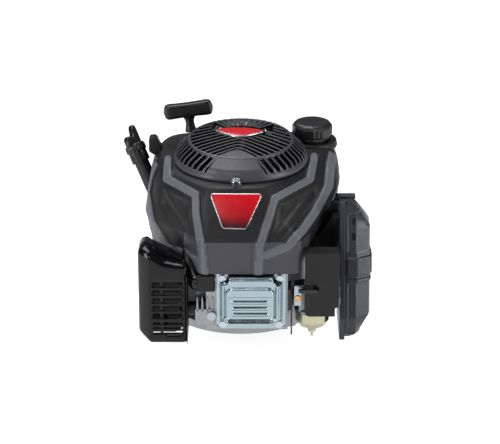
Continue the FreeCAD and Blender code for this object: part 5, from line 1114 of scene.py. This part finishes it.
def build_filter():
    """Air filter cover: two framed panels, a bevelled outer side, a latch band and cooling slots."""
    heights = [6.0 + 1.25 * step for step in range(int(189.5 / 1.25) + 1)] + [195.5]
    shares = [step / 46.0 for step in range(47)]
    verts = []
    for z in heights:
        reach = filter_reach(z)
        front = filter_front(z)
        plan = [Vector((151.0, front, 0)), Vector((152.4, front - 0.6, 0)),
                Vector((min(reach - 8.0, 167.5), front - 0.6, 0)),
                Vector((reach - 1.6, front + 10.0, 0)), Vector((reach, front + 14.0, 0)),
                Vector((reach, front + 34.0, 0))]
        lengths = [(b - a).length for a, b in zip(plan, plan[1:])]
        total = sum(lengths)
        for share in shares:
            along = share * total
            index = 0
            while index < len(lengths) - 1 and along > lengths[index]:
                along -= lengths[index]
                index += 1
            point = plan[index].lerp(plan[index + 1], min(1.0, along / lengths[index]))
            run = plan[index + 1] - plan[index]
            outward = Vector((run.y, -run.x, 0)).normalized()
            place = share * total
            lift = 0.0
            frame_low = rounded_rect(place, z, total / 2.0 - 5.0, 50.0, total / 2.0 - 9.0, 37.0, 5.0)
            frame_high = rounded_rect(place, z, total / 2.0 - 5.0, 156.0, total / 2.0 - 9.0, 28.0, 5.0)
            lift -= 1.2 * step_down(min(frame_low, frame_high), -1.2, 0.4)
            band = max(96.0 - z, z - 122.0)
            if place > 4.0:
                lift += 3.0 * step_down(band, -1.2, 0.6)
                lift += 1.6 * step_down(abs(z - 89.0), 1.6, 3.4)
            for centre in (150.0, 172.0):
                slot = rounded_rect(place, z, 12.5, centre, 2.4, 5.0, 1.0)
                lift -= 4.0 * step_down(slot, -0.6, 0.5)
            point = point + outward * lift
            verts.append((point.x, point.y, z))
        verts.append((reach, -50.0 if z < 165.0 else -50.0 - (z - 165.0) * 0.7, z))
        verts.append((151.0, -50.0 if z < 165.0 else -50.0 - (z - 165.0) * 0.7, z))
    columns = len(shares) + 2
    faces = grid_faces(columns, len(heights), wrap=True)
    faces.append(tuple(range(columns)))
    faces.append(tuple(reversed(range(len(verts) - columns, len(verts)))))
    new_piece("filter_cover", verts, faces, "filter_plastic", body="filter_cover",
              replaced=("air_filter_cover",), sharp=28)
    outline = [(-142.0, 3.0), (-142.0, 36.0), (-95.0, 198.0), (-78.0, 198.0), (-46.0, 166.0), (-46.0, 3.0)]
    verts = []
    for px in (143.4, 151.2):
        verts += [(px, y, z) for y, z in outline]
    faces = [tuple(range(6)), tuple(reversed(range(6, 12)))]
    faces += [(i, (i + 1) % 6, 6 + (i + 1) % 6, 6 + i) for i in range(6)]
    plate = new_piece("filter_back_plate", verts, faces, "filter_plastic", smooth=False)
    bevel(plate, 1.0, 3)


def build_duct_wall():
    """Dark wall of the intake duct between the shroud and the filter."""
    outline = [(98.0, 92.0), (143.2, 92.0), (143.2, 183.0), (133.0, 183.0), (118.0, 168.0), (98.0, 146.0)]
    verts = [(x, y, z) for y in (-49.0, -44.0) for x, z in outline]
    faces = [tuple(range(6)), tuple(reversed(range(6, 12)))]
    faces += [(i, (i + 1) % 6, 6 + (i + 1) % 6, 6 + i) for i in range(6)]
    wall = new_piece("intake_duct_wall", verts, faces, "black_plastic", smooth=False)
    bevel(wall, 1.2, 3)


def build_linkage():
    """Thin governor rod, and the plated bracket with its brass adjusting screw."""
    verts, faces = tube([(73.5, -150.0, z) for z in (16.0, 40.0, 70.0, 104.0)], [1.2] * 4, 12)
    new_piece("governor_rod", verts, faces, "dark_lever")
    plates = [block(77.0, 87.5, -152.0, -150.4, 62.0, 94.0), block(77.0, 90.0, -152.0, -132.0, 92.4, 94.0)]
    verts, faces = merge(plates)
    bracket = new_piece("throttle_bracket", verts, faces, "zinc_plate", smooth=False)
    bevel(bracket, 0.5, 2)
    verts = []
    for depth, radius in ((0.0, 4.4), (1.2, 4.4), (1.8, 3.9), (1.8, 2.2), (1.0, 2.0)):
        for step in range(24):
            angle = math.tau * step / 24
            verts.append((82.2 + radius * math.cos(angle), -152.2 - depth, 74.0 + radius * math.sin(angle)))
    faces = grid_faces(24, 5, wrap=True)
    faces.append(tuple(range(96, 120)))
    new_piece("adjusting_screw", verts, faces, "brass", sharp=40)


# ---------------------------------------------------------------- CAD finishes and stage
def paint_cad():
    """Gives every CAD node that shows its slot's material."""
    record = frame["record"]
    for part in record["subparts"]:
        node = frame["nodes"][part["node"]]
        material = MATERIALS[part["material_slot"]]
        node.data.materials.clear()
        node.data.materials.append(material)


def area_lamp(name, place, aim, width, height, power):
    """A rectangular white lamp at a place, turned towards a point."""
    lamp = bpy.data.lights.new(name, "AREA")
    lamp.shape = "RECTANGLE"
    lamp.size = width
    lamp.size_y = height
    lamp.energy = power
    holder = bpy.data.objects.new(name, lamp)
    bpy.context.collection.objects.link(holder)
    holder.location = place
    holder.rotation_euler = (Vector(aim) - Vector(place)).to_track_quat("-Z", "Y").to_euler()
    return holder


def build_stage(studio):
    """Pale floor, soft lamps and the camera."""
    floor = bpy.data.materials.new("paper, white backdrop")
    floor.use_nodes = True
    shader = floor.node_tree.nodes["Principled BSDF"]
    shader.inputs["Base Color"].default_value = linear("c8c8c8")
    shader.inputs["Roughness"].default_value = 0.9
    shader.inputs["Specular IOR Level"].default_value = 0.1
    shader.inputs["Emission Color"].default_value = (1.0, 1.0, 1.0, 1.0)
    shader.inputs["Emission Strength"].default_value = studio.floor_glow
    verts = [(-14.0, -14.0, -0.047), (14.0, -14.0, -0.047), (14.0, 14.0, -0.047), (-14.0, 14.0, -0.047)]
    mesh = bpy.data.meshes.new("floor")
    mesh.from_pydata(verts, [], [(0, 1, 2, 3)])
    plane = bpy.data.objects.new("floor", mesh)
    mesh.materials.append(floor)
    bpy.context.collection.objects.link(plane)
    world = bpy.data.worlds.new("studio")
    bpy.context.scene.world = world
    world.use_nodes = True
    world.node_tree.nodes["Background"].inputs["Color"].default_value = (1.0, 1.0, 1.0, 1.0)
    world.node_tree.nodes["Background"].inputs["Strength"].default_value = studio.room_light
    lamps = [
        area_lamp("top softbox", (-0.25, 0.35, 1.5), (0.0, 0.0, 0.1), 1.2, 1.2, studio.top_power),
        area_lamp("front softbox", (-0.5, -1.8, 1.1), (0.0, 0.0, 0.12), 0.7, 0.5, studio.front_power),
        area_lamp("left strip", (-1.1, -0.7, 0.45), (0.0, -0.1, 0.12), 0.16, 1.1, studio.left_power),
        area_lamp("right strip", (1.1, -0.5, 0.5), (0.0, -0.1, 0.12), 0.25, 1.1, studio.right_power),
    ]
    camera = bpy.data.cameras.new("camera")
    camera.lens = 144.0
    camera.sensor_width = 36.0
    camera.clip_end = 20.0
    holder = bpy.data.objects.new("camera", camera)
    bpy.context.collection.objects.link(holder)
    holder.location = EYE * MM
    holder.rotation_euler = ((EYE_TARGET - EYE) * MM).to_track_quat("-Z", "Y").to_euler()
    bpy.context.scene.camera = holder
    bpy.context.scene.view_settings.view_transform = "Standard"


# ---------------------------------------------------------------- settings
class CoverSettings(bpy.types.PropertyGroup):
    """Sizes of the moulded covers."""
    rib_width: FloatProperty(name="Rib width", description="Width of the shroud's raised ribs",
        subtype="DISTANCE", unit="LENGTH", min=0.004, max=0.02, default=0.0112)
    rib_rise: FloatProperty(name="Rib rise", description="How far the ribs stand out of the shroud",
        subtype="DISTANCE", unit="LENGTH", min=0.0, max=0.006, default=0.0034)
    panel_depth: FloatProperty(name="Panel depth",
                               description="How deep the panels between the ribs are sunk",
                               subtype="DISTANCE", unit="LENGTH", min=0.0, max=0.01, default=0.005)
    louvre_pitch: FloatProperty(name="Louvre pitch",
                                description="Distance from one fan cover louvre to the next",
                                subtype="DISTANCE", unit="LENGTH", min=0.007, max=0.016, default=0.0102)


class FinishSettings(bpy.types.PropertyGroup):
    """Colours of the main finishes."""
    shroud_colour: FloatVectorProperty(name="Shroud colour",
                                       description="Grained plastic of the shroud between its ribs",
                                       subtype="COLOR", size=4, min=0.0, max=1.0, default=linear("141416"))
    # painted highlight: the ribs get a paler colour than the panels, where the light catches them
    rib_highlight_colour: FloatVectorProperty(name="Rib highlight colour", description="Coarser plastic on the raised ribs",
        subtype="COLOR", size=4, min=0.0, max=1.0, default=linear("4a4b50"))
    # painted reflection: the upright front gets a paler colour for the pale floor it reflects
    nose_reflection_colour: FloatVectorProperty(name="Nose reflection colour",
                                     description="Plastic of the upright front below the label",
                                     subtype="COLOR", size=4, min=0.0, max=1.0, default=linear("313136"))
    # painted highlight: the fan cover faces that the lamps reach get a paler colour than the nylon's own
    fan_cover_lit_colour: FloatVectorProperty(name="Fan cover lit colour", description="Lit faces of the fan cover",
        subtype="COLOR", size=4, min=0.0, max=1.0, default=linear("2e2e33"))
    enamel_colour: FloatVectorProperty(name="Enamel colour", description="Gloss enamel of the exhaust guard",
        subtype="COLOR", size=4, min=0.0, max=1.0, default=linear("040406"))
    zinc_colour: FloatVectorProperty(name="Zinc colour", description="Blue zinc plate of the valve cover",
        subtype="COLOR", size=4, min=0.0, max=1.0, default=linear("8c9ba2"))
    casting_colour: FloatVectorProperty(name="Casting colour",
                                        description="Cast aluminium of the crankcase and head",
                                        subtype="COLOR", size=4, min=0.0, max=1.0, default=linear("88898c"))
    filter_colour: FloatVectorProperty(name="Filter cover colour",
                                       description="Plastic of the air filter cover", subtype="COLOR",
                                       size=4, min=0.0, max=1.0, default=linear("24252a"))
    badge_colour: FloatVectorProperty(name="Badge colour",
                                      description="Printed film of the badge on the fan cover",
                                      subtype="COLOR", size=4, min=0.0, max=1.0, default=linear("a8141c"))


class StudioSettings(bpy.types.PropertyGroup):
    """Light of the studio."""
    top_power: FloatProperty(name="Top softbox", description="Power of the softbox above and behind",
        unit="POWER", min=0.0, default=30.0)
    front_power: FloatProperty(name="Front softbox", description="Power of the weak softbox in front",
        unit="POWER", min=0.0, default=9.0)
    left_power: FloatProperty(name="Left strip", description="Power of the strip that draws the left streaks",
        unit="POWER", min=0.0, default=11.0)
    right_power: FloatProperty(name="Right strip",
                               description="Power of the strip that draws the right streaks", unit="POWER",
                               min=0.0, default=13.0)
    room_light: FloatProperty(name="Room light", description="Even light from all round",
        min=0.0, max=2.0, default=0.14)
    floor_glow: FloatProperty(name="Floor glow", description="Light that keeps the paper white",
        min=0.0, max=2.0, default=0.78)


# ---------------------------------------------------------------- operators
class ENGINE_OT_finishes(bpy.types.Operator):
    """Mixes every material and gives the CAD nodes that show their own"""
    bl_idname = "engine.finishes"
    bl_label = "Finishes"

    def execute(self, context):
        MATERIALS.update(make_materials(context.scene.engine_finishes))
        paint_cad()
        return {"FINISHED"}


class ENGINE_OT_shroud(bpy.types.Operator):
    """Moulds the shroud with its raised ribs, sunk panels, fuel collar and rope guide"""
    bl_idname = "engine.shroud"
    bl_label = "Shroud"

    def execute(self, context):
        build_shroud(context.scene.engine_covers)
        return {"FINISHED"}


class ENGINE_OT_label(bpy.types.Operator):
    """Lays the printed label on the front of the shroud"""
    bl_idname = "engine.label"
    bl_label = "Label"

    def execute(self, context):
        build_label()
        return {"FINISHED"}


class ENGINE_OT_fan_cover(bpy.types.Operator):
    """Moulds the fan cover with its louvres, side slots, badge and front screw"""
    bl_idname = "engine.fan_cover"
    bl_label = "Fan cover"

    def execute(self, context):
        build_grille(context.scene.engine_covers)
        return {"FINISHED"}


class ENGINE_OT_fuel_cap(bpy.types.Operator):
    """Moulds the fuel cap with its facets and ribs"""
    bl_idname = "engine.fuel_cap"
    bl_label = "Fuel cap"

    def execute(self, context):
        build_fuel_cap()
        return {"FINISHED"}


class ENGINE_OT_pull_handle(bpy.types.Operator):
    """Moulds the starter handle and lays the rope that it draws out"""
    bl_idname = "engine.pull_handle"
    bl_label = "Pull handle and rope"

    def execute(self, context):
        build_handle()
        build_rope()
        return {"FINISHED"}


class ENGINE_OT_dipstick(bpy.types.Operator):
    """Makes the dipstick, its winged cap and the clip of its tube"""
    bl_idname = "engine.dipstick"
    bl_label = "Dipstick"

    def execute(self, context):
        build_dipstick()
        return {"FINISHED"}


class ENGINE_OT_valve_cover(bpy.types.Operator):
    """Presses the valve cover with its plain ribs"""
    bl_idname = "engine.valve_cover"
    bl_label = "Valve cover"

    def execute(self, context):
        build_valve_cover()
        return {"FINISHED"}


class ENGINE_OT_head_end(bpy.types.Operator):
    """Makes the plug boot, the fins beside the port and a black block of painted shade over them"""
    bl_idname = "engine.head_end"
    bl_label = "Head end"

    def execute(self, context):
        build_boot()
        build_port_fins()
        return {"FINISHED"}


class ENGINE_OT_exhaust_guard(bpy.types.Operator):
    """Draws the exhaust guard with its two columns of slots"""
    bl_idname = "engine.exhaust_guard"
    bl_label = "Exhaust guard"

    def execute(self, context):
        build_guard()
        return {"FINISHED"}


class ENGINE_OT_air_shield(bpy.types.Operator):
    """Folds the sheet in front of the carburettor"""
    bl_idname = "engine.air_shield"
    bl_label = "Air shield"

    def execute(self, context):
        build_shield()
        return {"FINISHED"}


class ENGINE_OT_filter_cover(bpy.types.Operator):
    """Moulds the filter cover, its back plate and the duct wall beside it"""
    bl_idname = "engine.filter_cover"
    bl_label = "Filter cover"

    def execute(self, context):
        build_filter()
        build_duct_wall()
        return {"FINISHED"}


class ENGINE_OT_linkage(bpy.types.Operator):
    """Makes the governor rod, the plated bracket and its brass screw"""
    bl_idname = "engine.linkage"
    bl_label = "Linkage"

    def execute(self, context):
        build_linkage()
        return {"FINISHED"}


class ENGINE_OT_studio(bpy.types.Operator):
    """Sets the floor, the lamps and the camera"""
    bl_idname = "engine.studio"
    bl_label = "Studio"

    def execute(self, context):
        build_stage(context.scene.engine_studio)
        return {"FINISHED"}


OPERATORS = (ENGINE_OT_finishes, ENGINE_OT_shroud, ENGINE_OT_label,
             ENGINE_OT_fan_cover, ENGINE_OT_fuel_cap, ENGINE_OT_pull_handle,
             ENGINE_OT_dipstick, ENGINE_OT_valve_cover, ENGINE_OT_head_end,
             ENGINE_OT_exhaust_guard, ENGINE_OT_air_shield, ENGINE_OT_filter_cover,
             ENGINE_OT_linkage, ENGINE_OT_studio)
SETTINGS = {"engine_covers": CoverSettings, "engine_finishes": FinishSettings,
            "engine_studio": StudioSettings}


class ENGINE_PT_panel(bpy.types.Panel):
    """Settings and build steps of the engine"""
    bl_idname = "ENGINE_PT_panel"
    bl_label = "Small engine"
    bl_space_type = "VIEW_3D"
    bl_region_type = "UI"
    bl_category = "Engine"

    def draw(self, context):
        for name, group in SETTINGS.items():
            box = self.layout.box()
            for setting in group.__annotations__:
                box.prop(getattr(context.scene, name), setting)
        column = self.layout.column(align=True)
        for operator in OPERATORS:
            column.operator(operator.bl_idname)


CLASSES = (*SETTINGS.values(), *OPERATORS, ENGINE_PT_panel)


def register():
    """Registers the classes and hangs the settings on the scene."""
    for item in CLASSES:
        bpy.utils.register_class(item)
    for name, group in SETTINGS.items():
        setattr(bpy.types.Scene, name, PointerProperty(type=group))


def unregister():
    """Takes the settings and the classes away again."""
    for name in SETTINGS:
        delattr(bpy.types.Scene, name)
    for item in reversed(CLASSES):
        bpy.utils.unregister_class(item)


def main():
    """Runs every build step in order."""
    register()
    for operator in OPERATORS:
        group, name = operator.bl_idname.split(".")
        getattr(getattr(bpy.ops, group), name)()


if __name__ == "__main__":
    main()
